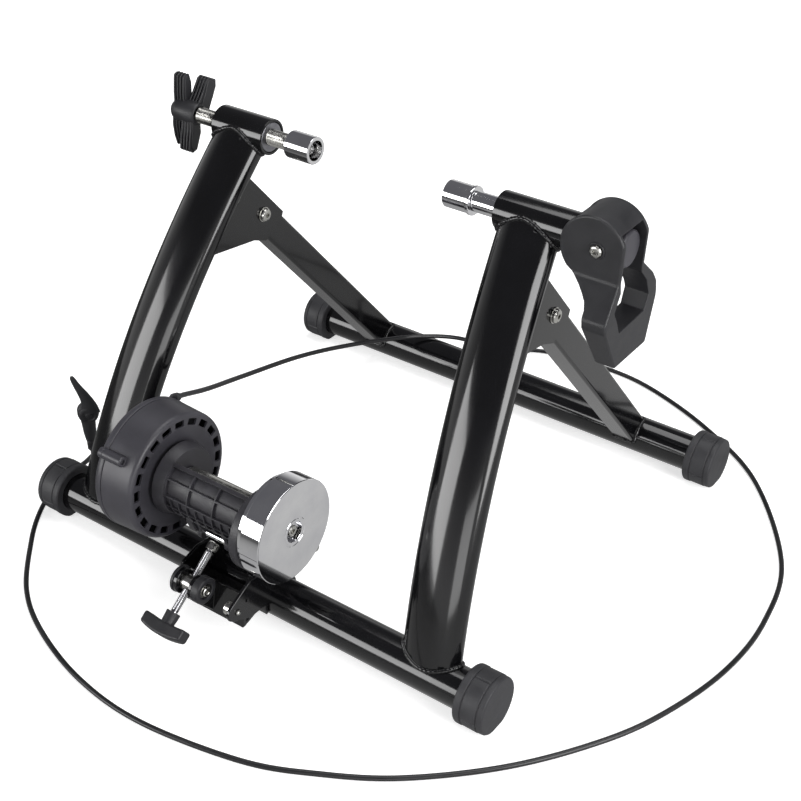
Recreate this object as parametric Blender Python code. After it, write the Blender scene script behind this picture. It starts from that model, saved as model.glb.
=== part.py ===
"""Folding indoor bicycle trainer with a magnetic resistance unit and a remote shifter.

The rear wheel's axle is clamped between two cups, and the tyre runs on a roller that turns a
flywheel and a rotor. Lengths are in millimetres, and the drawing functions turn them to metres.
While it is drawn, x = 0 is the plane of symmetry, y = 0 the axis of the front base tube and z = 0
the floor, with +Y towards the back. The parent empty then puts the middle of the foot print at
the origin.
"""

import math

import bmesh
import bpy
from mathutils import Matrix, Vector

MM = 0.001
GAP = 0.3

BASE_WIDTH = 545.0
BASE_TUBE_R = 19.3
TUBE_WALL = 1.6
AXIS_HEIGHT = 24.0
REAR_TUBE_Y = 431.5
FOOT_R = 28.0
FOOT_LENGTH = 30.0
FOOT_END_WALL = 3.0

AXLE_Y = 202.6
AXLE_Z = 373.1
LEG_INSET = 71.0
LEG_FOOT_X = BASE_WIDTH / 2 - LEG_INSET
LEG_TOP_X = 162.0
LEG_BOW = 25.2
LEG_SIDE_BOW = 1.8
LEG_HALF_WIDTH = 29.3
LEG_HALF_DEPTH = 17.0

SLEEVE_R = 17.45
SLEEVE_WALL = 2.5
LEFT_SLEEVE = (-190.9, -128.8)
RIGHT_SLEEVE = (130.7, 211.5)

PIVOT_Y = 209.0
PIVOT_Z = 283.0
PIVOT_HOLE_R = 4.3
PIVOT_BOLT_R = 4.0
REAR_LEG_X = 168.0
REAR_LEG_WIDTH = 27.4
REAR_LEG_DEPTH = 29.0
REAR_LEG_WALL = 1.6
BRACKET_PLATE = 3.0
BRACKET_WEB = 3.0

CLAMP_SCREW_R = 8.0
CUP_R = 13.25
CUP_BORE_R = 9.6
CUP_BACK = 6.0
LEFT_CUP = (-104.0, -75.5)
KNOB_END_X = -252.0
KNOB_FIN_WIDTH = 15.0
KNOB_HUB_LENGTH = 31.0
KNOB_HUB_R = 10.6

RIGHT_CUP_R = 12.5
RIGHT_CUP = (75.4, 103.4)
RIGHT_CUP_COLLAR = 3.6
AXLE_PIN_R = 9.4
PIN_NECK_R = 6.0
PIN_COLLAR_R = 13.5
LEVER_BLOCK_R = 16.9
LEVER_BLOCK = (222.0, 256.0)
LEVER_PIVOT_X = 236.0
LEVER_PIVOT_RISE = 1.9
LEVER_HEAD_R = 31.0
LEVER_HEAD_OFFSET = 4.5
LEVER_HALF_WIDTH = 22.2
LEVER_SLOT_HALF = 17.9
LEVER_CAVITY_R = 25.0
LEVER_CAVITY_END = 122.0
LEVER_RIGHT_X = 261.0
LEVER_SCREW_R = 3.0

UNIT_Y = -20.7
UNIT_Z = 133.4
ROLLER_R = 15.0
ROLLER = (-54.0, 29.5)
SHAFT_R = 6.0
FLYWHEEL_R = 49.5
FLYWHEEL = (48.9, 70.0)
FLYWHEEL_BACK_R = 45.1
FLYWHEEL_BACK_X = 42.3
HOUSING_R = 63.8
HOUSING_FACE_R = 62.1
HOUSING = (-112.3, -68.2)
HOUSING_SEAM_X = -103.7
HOUSING_WALL = 2.4
HUB_HOLE_R = 9.0
VENT_COUNT = 20
VENT_R = (50.6, 56.0)
VENT_WIDTH = 10.8
LUG_ANGLES = (142, -28)
ROTOR_R = 55.0
MAGNET_COUNT = 3
MAGNET_R = 8.0
MAGNET_RING_R = 41.0

YOKE_R = 29.0
YOKE_SHELL = 3.5
YOKE_RIB = 3.2
YOKE_FLANGE = (-67.9, -56.2)
YOKE_RING = (31.3, 42.0)
YOKE_RING_R = 39.0
YOKE_RING_DROP = 6.8
YOKE_PIVOT_Y = 50.0
YOKE_PIVOT_Z = 50.0
YOKE_PIVOT_R = 4.0
YOKE_EAR_R = 9.0
LEFT_ARM = (-42.6, -34.6)
RIGHT_ARM = (19.4, 27.4)

LEFT_CHEEK = (-46.3, -43.0)
RIGHT_CHEEK = (27.8, 31.0)
SADDLE_PLATE = 3.2
EAR_PIN_Y = -60.0
EAR_PIN_Z = 47.9
EAR_PIN_R = 2.5

ADJUSTER_Y = -67.4
ADJUSTER_Z = 62.4
ADJUSTER_X = -17.3
ADJUSTER_ANGLE = math.radians(35)
ADJUSTER_REACH = 48.6
ADJUSTER_R = 3.9
ADJUSTER_TAIL = 44.2
ADJUSTER_BAR_R = 4.0
ADJUSTER_BAR = (-34.5, -0.2)
TIP_GAP = 1.9
T_BAR_LENGTH = 47.6
TRUNNION = (-23.9, -10.7)
TRUNNION_SEAT = 1.6
TRUNNION_R = 7.8
TRUNNION_SCREW_R = 3.0
BOSS_R = 13.1
LEFT_BOSS = (-32.4, -28.3)
LEFT_LUG = (-28.0, -24.2)
RIGHT_LUG = (-10.4, -6.6)
RIGHT_BOSS = (-6.3, 2.1)

CABLE_R = 2.5
CABLE_EXIT_X = -111.0
CABLE_EXIT_REACH = HOUSING_R + 3.6
CABLE_EXIT_ANGLE = math.radians(40.2)
CABLE_EXIT = (
    CABLE_EXIT_X,
    UNIT_Y + CABLE_EXIT_REACH * math.cos(CABLE_EXIT_ANGLE),
    UNIT_Z + CABLE_EXIT_REACH * math.sin(CABLE_EXIT_ANGLE),
)
CABLE_WAY = Vector((-0.28, 0.87, -0.41)).normalized()
CABLE_ROUTE = [
    (-128.7, 87.8, 148.3), (-142.2, 153, 123.5), (-149, 250, 95), (-144, 330, 71), (-125, 402, 52),
    (-102, 434, 47), (-80, 462, 38), (-58, 497, 17), (-34, 530, 5), (0, 549, 2.6), (67, 556.5, 2.6),
    (131, 549, 2.6), (220, 513, 2.6), (305, 455, 2.6), (382, 349, 2.6), (405, 258, 2.6), (403, 173, 2.6),
    (380, 88, 2.6), (348, 25, 2.6), (301, -39, 2.6), (240, -97, 2.6), (183, -133, 2.6), (120, -161, 2.6),
    (21, -179, 2.6), (-59, -174, 2.6), (-135, -151, 2.6), (-191, -119, 2.6), (-242, -67, 2.6),
    (-269, -32, 2.6), (-286, 1, 3.0), (-288, 28, 8), (-277, 42, 20),
]

REMOTE_X = -256.0
REMOTE_Y = 40.0
REMOTE_Z = 95.0
DRUM_R = 11.0
BARREL_LENGTH = 12.0

FINISHES = {
    "gloss_black": ((0.010, 0.010, 0.011), 0.12, 0.0),
    "grey_plastic": ((0.075, 0.077, 0.088), 0.45, 0.0),
    "dark_plastic": ((0.028, 0.028, 0.031), 0.5, 0.0),
    "rubber": ((0.035, 0.035, 0.037), 0.7, 0.0),
    "chrome": ((0.80, 0.80, 0.80), 0.06, 1.0),
    "zinc": ((0.55, 0.55, 0.54), 0.3, 1.0),
    "steel": ((0.32, 0.32, 0.33), 0.35, 1.0),
}


def clear_scene():
    """Leave nothing of an earlier scene."""
    for obj in list(bpy.data.objects):
        bpy.data.objects.remove(obj, do_unlink=True)


def finish(obj, kind):
    """Give the piece a material of its own."""
    colour, rough, metal = FINISHES[kind]
    mat = bpy.data.materials.new(f"{obj.name}_{kind}")
    mat.use_nodes = True
    shader = mat.node_tree.nodes["Principled BSDF"]
    shader.inputs["Base Color"].default_value = (*colour, 1.0)
    shader.inputs["Roughness"].default_value = rough
    shader.inputs["Metallic"].default_value = metal
    obj.data.materials.append(mat)


def skin(rings, closed=False):
    """Mesh over a row of equal rings of points in millimetres. Open rows get flat ends."""
    bm = bmesh.new()
    rows = [[bm.verts.new(Vector(p) * MM) for p in ring] for ring in rings]
    count = len(rows[0])
    pairs = list(zip(rows, rows[1:]))
    if closed:
        pairs.append((rows[-1], rows[0]))
    else:
        bm.faces.new(rows[0])
        bm.faces.new(rows[-1])
    for one, two in pairs:
        for i in range(count):
            j = (i + 1) % count
            bm.faces.new((one[i], one[j], two[j], two[i]))
    bmesh.ops.recalc_face_normals(bm, faces=bm.faces)
    return bm


def piece(name, bm, kind, origin=(0, 0, 0)):
    """Named solid whose own origin is at the given place, in millimetres."""
    at = Vector(origin) * MM
    bmesh.ops.translate(bm, verts=bm.verts, vec=-at)
    mesh = bpy.data.meshes.new(name)
    bm.to_mesh(mesh)
    bm.free()
    mesh.shade_smooth()
    mesh.set_sharp_from_angle(angle=math.radians(32))
    obj = bpy.data.objects.new(name, mesh)
    obj.location = at
    bpy.context.scene.collection.objects.link(obj)
    finish(obj, kind)
    return obj


def helper(name, bm):
    """Hidden tool shape for a Boolean."""
    obj = piece(name, bm, "steel")
    obj.hide_render = True
    obj.display_type = "WIRE"
    return obj


def boolean(obj, tool, operation):
    """Cut from, join to or keep what is shared with the tool."""
    mod = obj.modifiers.new(f"{operation.lower()} {tool.name}", "BOOLEAN")
    mod.operation = operation
    mod.solver = "EXACT"
    mod.object = tool


def circle(r, count):
    """Points of a circle about the local Z axis, with a flat side down."""
    step = 2 * math.pi / count
    return [(r * math.cos((i + 0.5) * step), r * math.sin((i + 0.5) * step)) for i in range(count)]


def facing(direction, at):
    """Matrix that lays local Z along the direction, with its origin at the place."""
    turn = Vector((0, 0, 1)).rotation_difference(Vector(direction)).to_matrix().to_4x4()
    return Matrix.Translation(Vector(at)) @ turn


def turned(profile, direction, at, closed=False, count=28):
    """Turned solid: (distance along the axis, radius) pairs, about an axis through the place."""
    matrix = facing(direction, at)
    rings = [[matrix @ Vector((x, y, s)) for x, y in circle(r, count)] for s, r in profile]
    return skin(rings, closed)


def along_x(profile, y, z, closed=False, count=28):
    """Turned solid about an axis along X: (x, radius) pairs."""
    rings = [[(x, y + a, z + b) for a, b in circle(r, count)] for x, r in profile]
    return skin(rings, closed)


def bored(ends, outer, inner, chamfer=0.6):
    """Closed profile of a ring or bush between two stations."""
    low, high = ends
    rim = outer - chamfer
    edge_low = [(low, inner), (low, rim), (low + chamfer, outer)]
    edge_high = [(high - chamfer, outer), (high, rim), (high, inner)]
    return edge_low + edge_high


def rod(ends, r, chamfer=0.6):
    """Profile of a plain round rod between two stations."""
    low, high = ends
    return [(low, r - chamfer), (low + chamfer, r), (high - chamfer, r), (high, r - chamfer)]


def slab_x(outline, low, high):
    """Plate with a (y, z) outline between two x stations."""
    return skin([[(x, y, z) for y, z in outline] for x in (low, high)])


def slab_y(outline, low, high):
    """Plate with an (x, z) outline between two y stations."""
    return skin([[(x, y, z) for x, z in outline] for y in (low, high)])


def arc(cy, cz, r, start, end, steps):
    """Points on a circular arc, with angles in degrees."""
    angles = [math.radians(start + (end - start) * i / steps) for i in range(steps + 1)]
    return [(cy + r * math.cos(a), cz + r * math.sin(a)) for a in angles]


def leg_centre(side, t):
    """Centre of a main leg, from the front tube's axis (t = 0) to the axle sleeve's (t = 1)."""
    spread = LEG_FOOT_X + (LEG_TOP_X - LEG_FOOT_X) * t + 4 * LEG_SIDE_BOW * t * (1 - t)
    forward = AXLE_Y * t - 4 * LEG_BOW * t * (1 - t)
    return Vector((side * spread, forward, AXIS_HEIGHT + (AXLE_Z - AXIS_HEIGHT) * t))


def leg_rings(side, grow, first, last, steps, count=18):
    """Oval rings square to the leg's curve, larger than the tube by the given growth."""
    rings = []
    for i in range(steps + 1):
        t = first + (last - first) * i / steps
        centre = leg_centre(side, t)
        ahead = (leg_centre(side, t + 0.01) - leg_centre(side, t - 0.01)).normalized()
        deep = ahead.cross(Vector((1, 0, 0))).normalized()
        wide = deep.cross(ahead)
        half_x = wide * (LEG_HALF_WIDTH + grow)
        half_y = deep * (LEG_HALF_DEPTH + grow)
        rings.append([centre + half_x * x + half_y * y for x, y in circle(1, count)])
    return rings


def tube_cutter(name, y, z, r):
    """Hidden cylinder along X that saddles a tube's end."""
    return helper(name, along_x([(-BASE_WIDTH, r), (BASE_WIDTH, r)], y, z, count=40))


def make_base_tubes():
    """Round cross tubes at the front and the back, closed by their foot caps."""
    half = BASE_WIDTH / 2 - FOOT_END_WALL - GAP
    profile = bored((-half, half), BASE_TUBE_R, BASE_TUBE_R - TUBE_WALL)
    piece("front_base_tube", along_x(profile, 0, AXIS_HEIGHT, closed=True), "gloss_black")
    at = (0, REAR_TUBE_Y, AXIS_HEIGHT)
    piece("rear_base_tube", along_x(profile, REAR_TUBE_Y, AXIS_HEIGHT, closed=True), "gloss_black", at)


def make_foot(name, side, y):
    """Rubber end cap: it sleeves over the tube's end and is flat underneath."""
    bore = BASE_TUBE_R + GAP
    depth = FOOT_LENGTH - FOOT_END_WALL
    profile = [
        (FOOT_LENGTH, FOOT_R - 3.2),
        (FOOT_LENGTH - 1.6, FOOT_R - 1.0),
        (FOOT_LENGTH - 6.0, FOOT_R - 0.8),
        (FOOT_LENGTH - 6.6, FOOT_R),
        (1.2, FOOT_R),
        (0, FOOT_R - 1.2),
        (0, bore),
        (depth, bore),
    ]
    inner = BASE_WIDTH / 2 - FOOT_LENGTH
    stations = [(side * (inner + s), r) for s, r in profile]
    bm = along_x(stations, y, AXIS_HEIGHT)
    for v in bm.verts:
        v.co.z = max(v.co.z, 0.0)
    return piece(name, bm, "rubber", (side * inner, y, AXIS_HEIGHT))


def make_main_leg(name, side, base_cutter, top_cutter):
    """Curved oval tube, saddled at both ends."""
    outer = leg_rings(side, 0, 0, 1, 8)
    inner = leg_rings(side, -TUBE_WALL, 0, 1, 8)
    obj = piece(name, skin(outer + inner[::-1], closed=True), "gloss_black")
    boolean(obj, base_cutter, "DIFFERENCE")
    boolean(obj, top_cutter, "DIFFERENCE")
    return obj


def rear_leg_axes():
    """Unit vectors in (y, z): up along the rear leg, and square to it towards the back."""
    up = Vector((PIVOT_Y - REAR_TUBE_Y, PIVOT_Z - AXIS_HEIGHT)).normalized()
    return up, Vector((up.y, -up.x))


def web_line():
    """A point on the back face of the pivot bracket's web, and the way along it, in (y, z)."""
    t = (PIVOT_Z - AXIS_HEIGHT) / (AXLE_Z - AXIS_HEIGHT)
    centre = leg_centre(1, t)
    ahead = leg_centre(1, t + 0.01) - leg_centre(1, t - 0.01)
    way = Vector((ahead.y, ahead.z)).normalized()
    back = Vector((way.y, -way.x))
    return Vector((centre.y, centre.z)) + back * (LEG_HALF_DEPTH + GAP + BRACKET_WEB), way, back


def make_pivot_bracket(name, side):
    """Channel welded to the back of a main leg: two cheeks and a web that stops the rear leg."""
    up, back = rear_leg_axes()
    pivot = Vector((PIVOT_Y, PIVOT_Z))
    half = REAR_LEG_DEPTH / 2
    in_leg = leg_centre(side, (PIVOT_Z + 60 - AXIS_HEIGHT) / (AXLE_Z - AXIS_HEIGHT))
    low_leg = leg_centre(side, (PIVOT_Z - 12 - AXIS_HEIGHT) / (AXLE_Z - AXIS_HEIGHT))
    outline = [
        Vector((in_leg.y, in_leg.z)),
        pivot + up * 52 + back * (half + 2.5),
        pivot - up * 26 + back * (half + 2.5),
        pivot - up * 29.5 + back * (half - 4),
        pivot - up * 24.5 - back * (half + 4),
        pivot - up * 7 - back * (half + 12.5),
        Vector((low_leg.y, low_leg.z)),
    ]
    inside = REAR_LEG_WIDTH / 2 + GAP
    outside = inside + BRACKET_PLATE
    middle = side * REAR_LEG_X
    obj = piece(name, slab_x(outline, middle - outside, middle + outside), "gloss_black")
    start, way, rearward = web_line()
    low_end = start - way * 160
    high_end = start + way * 160
    hollow = [low_end, high_end, high_end + rearward * 160, low_end + rearward * 160]
    boolean(obj, helper(f"{name}_hollow", slab_x(hollow, middle - inside, middle + inside)), "DIFFERENCE")
    boolean(obj, helper(f"{name}_saddle", skin(leg_rings(side, GAP, 0.375, 1.125, 6))), "DIFFERENCE")
    boolean(obj, pivot_drill(f"{name}_drill", side), "DIFFERENCE")
    return obj


def pivot_drill(name, side):
    """Hidden drill for the fold bolt's holes."""
    middle = side * REAR_LEG_X
    ends = [(middle - 60, PIVOT_HOLE_R), (middle + 60, PIVOT_HOLE_R)]
    return helper(name, along_x(ends, PIVOT_Y, PIVOT_Z, count=20))


def make_rear_leg(name, side, base_cutter):
    """Rectangular tube from the fold bolt down to the rear base tube."""
    up, back = rear_leg_axes()
    pivot = Vector((PIVOT_Y, PIVOT_Z))
    start, _, rearward = web_line()
    front_corner = pivot - back * (REAR_LEG_DEPTH / 2)
    reach = ((front_corner - start).dot(rearward) - GAP) / -up.dot(rearward)
    low = Vector((REAR_TUBE_Y, AXIS_HEIGHT))
    high = pivot + up * reach
    rings = []
    for centre, shrink in ((low, 0), (high, 0), (high, REAR_LEG_WALL), (low, REAR_LEG_WALL)):
        ring = []
        half_x = REAR_LEG_WIDTH / 2 - shrink
        half_n = REAR_LEG_DEPTH / 2 - shrink
        radius = 3.2 - 0.8 * shrink
        for sx, sn, first in ((1, 1, 0), (-1, 1, 90), (-1, -1, 180), (1, -1, 270)):
            for a, b in arc(sx * (half_x - radius), sn * (half_n - radius), radius, first, first + 90, 3):
                at = centre + back * b
                ring.append((side * REAR_LEG_X + a, at.x, at.y))
        rings.append(ring)
    obj = piece(name, skin(rings, closed=True), "gloss_black", (side * REAR_LEG_X, PIVOT_Y, PIVOT_Z))
    boolean(obj, base_cutter, "DIFFERENCE")
    boolean(obj, pivot_drill(f"{name}_drill", side), "DIFFERENCE")
    return obj


def make_pivot_bolt(side_name, side):
    """Fold bolt with its head towards +X, and its nut."""
    middle = side * REAR_LEG_X
    face = REAR_LEG_WIDTH / 2 + GAP + BRACKET_PLATE + GAP
    head = [(middle + face, 6.8), (middle + face + 3.4, 6.8), (middle + face + 5, 5.4)]
    tail = middle - face - 8.5
    shank = [(tail, PIVOT_BOLT_R - 0.6), (tail + 0.6, PIVOT_BOLT_R), (middle + face, PIVOT_BOLT_R)]
    piece(f"{side_name}_pivot_bolt", along_x(shank + head, PIVOT_Y, PIVOT_Z, count=24), "zinc")
    bore = (PIVOT_BOLT_R + GAP) / math.cos(math.pi / 6)
    profile = bored((middle - face - 6.5, middle - face), 7.2, bore)
    piece(f"{side_name}_pivot_nut", along_x(profile, PIVOT_Y, PIVOT_Z, closed=True, count=6), "zinc")


def make_sleeves():
    """Short cross tubes on top of the legs, with the bushes pressed into them."""
    inner = SLEEVE_R - SLEEVE_WALL
    at = (AXLE_Y, AXLE_Z)
    for name, ends in (("left_axle_sleeve", LEFT_SLEEVE), ("right_axle_sleeve", RIGHT_SLEEVE)):
        piece(name, along_x(bored(ends, SLEEVE_R, inner), *at, closed=True), "gloss_black")
    nut_ends = (LEFT_SLEEVE[0] + 0.5, LEFT_SLEEVE[1] - 0.5)
    nut_profile = bored(nut_ends, inner - GAP, CLAMP_SCREW_R + GAP)
    piece("clamp_sleeve_nut", along_x(nut_profile, *at, closed=True), "steel")
    bush_ends = (RIGHT_SLEEVE[0] + 0.5, RIGHT_SLEEVE[0] + 18)
    bush_profile = bored(bush_ends, inner - GAP, AXLE_PIN_R + GAP)
    piece("axle_pin_bush", along_x(bush_profile, *at, closed=True), "dark_plastic")


def make_left_clamp():
    """Cup that turns on the end of a screw, and the screw."""
    back, mouth = LEFT_CUP
    cup_profile = [
        (back, CUP_R - 0.8),
        (back + 0.8, CUP_R),
        (mouth - 0.8, CUP_R),
        (mouth, CUP_R - 0.8),
        (mouth, CUP_BORE_R),
        (back + CUP_BACK, CUP_BORE_R),
        (back + CUP_BACK, 5 + GAP),
        (back, 5 + GAP),
    ]
    at = (AXLE_Y, AXLE_Z)
    piece("left_axle_cup", along_x(cup_profile, *at, closed=True), "chrome", (back, *at))
    screw_profile = [
        (KNOB_END_X + 6, CLAMP_SCREW_R - 1),
        (KNOB_END_X + 7, CLAMP_SCREW_R),
        (back - GAP, CLAMP_SCREW_R),
        (back - GAP, 5),
        (back + CUP_BACK + GAP, 5),
        (back + CUP_BACK + GAP, 7.4),
        (back + CUP_BACK + 2.4, 7.4),
        (back + CUP_BACK + 3.2, 5.5),
    ]
    piece("clamp_screw", along_x(screw_profile, *at), "zinc", (back, *at))


def fin(points, low, high):
    """Knob fin with its outline given from the screw's axis, between two x stations."""
    return slab_x([(AXLE_Y + y, AXLE_Z + z) for y, z in points], low, high)


def make_clamp_knob():
    """Hand knob: a short hub with two pairs of crossed fins, one behind the other."""
    low = KNOB_END_X
    middle = low + KNOB_FIN_WIDTH
    high = middle + KNOB_FIN_WIDTH
    at = (AXLE_Y, AXLE_Z)
    hub = rod((low - 0.6, low + KNOB_HUB_LENGTH), KNOB_HUB_R, chamfer=2.0)
    knob = piece("clamp_knob", along_x(hub, *at), "dark_plastic", (low, *at))
    inner_bottom = [(2, -5), (0, -22), (-10, -35.5), (-15.5, -33.5), (-12, -18), (-9, 2)]
    fins = (
        ("outer_top", [(-3.5, 4), (-2, 18), (0, 35), (6.5, 36), (9, 24), (7, 4)], low, middle),
        ("outer_bottom", [(5, -4), (3, -20), (1, -36.5), (-4, -37.5), (-7.5, -22), (-7, -4)], low, middle),
        ("inner_top", [(-2, 5), (9, 17.5), (19, 31), (28.5, 24.5), (20.5, 13), (9, -2)], middle - 0.5, high),
        ("inner_bottom", inner_bottom, middle - 0.5, high),
    )
    for name, points, start, end in fins:
        boolean(knob, helper(f"knob_fin_{name}", fin(points, start, end)), "UNION")
    bore = along_x([(low + 6 - GAP, CLAMP_SCREW_R + GAP), (0, CLAMP_SCREW_R + GAP)], *at)
    boolean(knob, helper("knob_bore", bore), "DIFFERENCE")
    return knob


def make_right_clamp():
    """Cup, sliding pin with its return spring's collar, and the block that the lever turns on."""
    mouth, back = RIGHT_CUP
    at = (AXLE_Y, AXLE_Z)
    step = back - RIGHT_CUP_COLLAR
    spigot = PIN_NECK_R + GAP
    cup_profile = [
        (mouth, CUP_BORE_R),
        (mouth, RIGHT_CUP_R - 0.8),
        (mouth + 0.8, RIGHT_CUP_R),
        (step, RIGHT_CUP_R),
        (step, RIGHT_CUP_R + 0.9),
        (back, RIGHT_CUP_R + 0.9),
        (back, spigot),
        (back - CUP_BACK, spigot),
        (back - CUP_BACK, CUP_BORE_R),
    ]
    piece("right_axle_cup", along_x(cup_profile, *at, closed=True), "chrome", (mouth, *at))
    collar = RIGHT_SLEEVE[1] - 15
    pin_profile = [
        (back - CUP_BACK + 0.4, PIN_NECK_R),
        (back + GAP, PIN_NECK_R),
        (back + GAP, AXLE_PIN_R),
        (collar, AXLE_PIN_R),
        (collar, PIN_COLLAR_R),
        (collar + 4, PIN_COLLAR_R),
        (collar + 4, PIN_NECK_R),
        (LEVER_BLOCK[1] - 12, PIN_NECK_R),
    ]
    piece("axle_pin", along_x(pin_profile, *at), "zinc", (back, *at))
    low, high = LEVER_BLOCK
    block_profile = [
        (high, LEVER_BLOCK_R - 2.4),
        (high - 1.0, LEVER_BLOCK_R - 0.7),
        (high - 2.4, LEVER_BLOCK_R),
        (low + 0.8, LEVER_BLOCK_R),
        (low, LEVER_BLOCK_R - 0.8),
        (low, spigot),
        (high - 12 + GAP, spigot),
    ]
    block = piece("lever_block", along_x(block_profile, *at), "grey_plastic", (LEVER_PIVOT_X, *at))
    pivot_z = AXLE_Z + LEVER_PIVOT_RISE
    for name, direction in (("front", -1), ("back", 1)):
        ends = [(PIN_NECK_R + 2.5, LEVER_SCREW_R + GAP), (60, LEVER_SCREW_R + GAP)]
        hole = turned(ends, (0, direction, 0), (LEVER_PIVOT_X, AXLE_Y, pivot_z), count=16)
        boolean(block, helper(f"lever_block_{name}_hole", hole), "DIFFERENCE")


def make_pin_spring():
    """Return spring round the pin, between the bush and the pin's collar."""
    start = RIGHT_SLEEVE[0] + 18 + GAP
    end = RIGHT_SLEEVE[1] - 15 - GAP
    wire = 0.8
    mean = (AXLE_PIN_R + SLEEVE_R - SLEEVE_WALL) / 2
    turns = 6
    steps = turns * 9
    curve = bpy.data.curves.new("pin_return_spring", "CURVE")
    curve.dimensions = "3D"
    curve.bevel_depth = wire * MM
    curve.bevel_resolution = 0
    curve.use_fill_caps = True
    spline = curve.splines.new("POLY")
    spline.points.add(steps)
    length = end - start - 2 * wire
    for i, point in enumerate(spline.points):
        turn = 2 * math.pi * i / 9
        x = start + wire + length * i / steps
        point.co = (x * MM, (AXLE_Y + mean * math.cos(turn)) * MM, (AXLE_Z + mean * math.sin(turn)) * MM, 1)
    obj = bpy.data.objects.new("pin_return_spring", curve)
    bpy.context.scene.collection.objects.link(obj)
    finish(obj, "steel")
    return obj


def make_cam_lever():
    """Hand lever: two cheeks and a hood over the block, and a wide six-sided loop to pull."""
    z = AXLE_Z + LEVER_PIVOT_RISE
    mid = AXLE_Y
    head = (LEVER_PIVOT_X - LEVER_HEAD_OFFSET, z - 1.5)
    side_view = arc(*head, LEVER_HEAD_R, 20, 222, 20)
    side_view += [(228, z - 38), (229, z - 50), (237, z - 59), (243, z - 109), (LEVER_RIGHT_X + 1, z - 109)]
    side_view += [(LEVER_RIGHT_X + 1, z - 60), (LEVER_RIGHT_X, z - 26)]
    end_view = [
        (mid - LEVER_HALF_WIDTH, z + 40),
        (mid - LEVER_HALF_WIDTH, z - 26),
        (mid - 45, z - 53),
        (mid - 45, z - 61),
        (mid - 21, z - 106),
        (mid + 34, z - 106),
        (mid + 46, z - 64),
        (mid + 46, z - 49),
        (mid + 40, z - 39),
        (mid + LEVER_HALF_WIDTH, z - 22),
        (mid + LEVER_HALF_WIDTH, z + 40),
    ]
    lever = piece("cam_lever", slab_x(end_view, 190, 290), "dark_plastic", (LEVER_PIVOT_X, mid, z))
    boolean(lever, helper("lever_side_view", slab_y(side_view, mid - 60, mid + 60)), "INTERSECT")
    slot = LEVER_SLOT_HALF
    opening = [
        (mid - slot, z + 17.6),
        (mid - slot, z - 34),
        (mid - 29, z - 48),
        (mid - 19, z - 71),
        (mid + 24, z - 69),
        (mid + 31, z - 56),
        (mid + 27, z - 41),
        (mid + slot, z - 30),
        (mid + slot, z + 17.6),
    ]
    boolean(lever, helper("lever_opening", slab_x(opening, 180, 300)), "DIFFERENCE")
    cavity = arc(LEVER_PIVOT_X, z, LEVER_CAVITY_R, -60, LEVER_CAVITY_END, 20)
    cavity += [(LEVER_PIVOT_X - 60, z + 34), (LEVER_PIVOT_X - 60, z - 20)]
    boolean(lever, helper("lever_cavity", slab_y(cavity, mid - slot, mid + slot)), "DIFFERENCE")
    ends = [(-60, LEVER_SCREW_R + GAP), (60, LEVER_SCREW_R + GAP)]
    hole = turned(ends, (0, 1, 0), (LEVER_PIVOT_X, mid, z), count=16)
    boolean(lever, helper("lever_screw_hole", hole), "DIFFERENCE")
    return lever


def make_lever_screw(name, direction):
    """Shoulder screw through a cheek of the lever into the block."""
    profile = [
        (PIN_NECK_R + 3, LEVER_SCREW_R - 0.4),
        (LEVER_HALF_WIDTH + GAP, LEVER_SCREW_R),
        (LEVER_HALF_WIDTH + GAP, 5.6),
        (LEVER_HALF_WIDTH + 2.2, 5.6),
        (LEVER_HALF_WIDTH + 3.4, 4.2),
    ]
    at = (LEVER_PIVOT_X, AXLE_Y, AXLE_Z + LEVER_PIVOT_RISE)
    return piece(name, turned(profile, (0, direction, 0), at, count=20), "zinc", at)


def pin_drill(name, y, z, r, low, high):
    """Hidden drill along X, a clearance larger than its pin."""
    return helper(name, along_x([(low, r + GAP), (high, r + GAP)], y, z, count=16))


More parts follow.
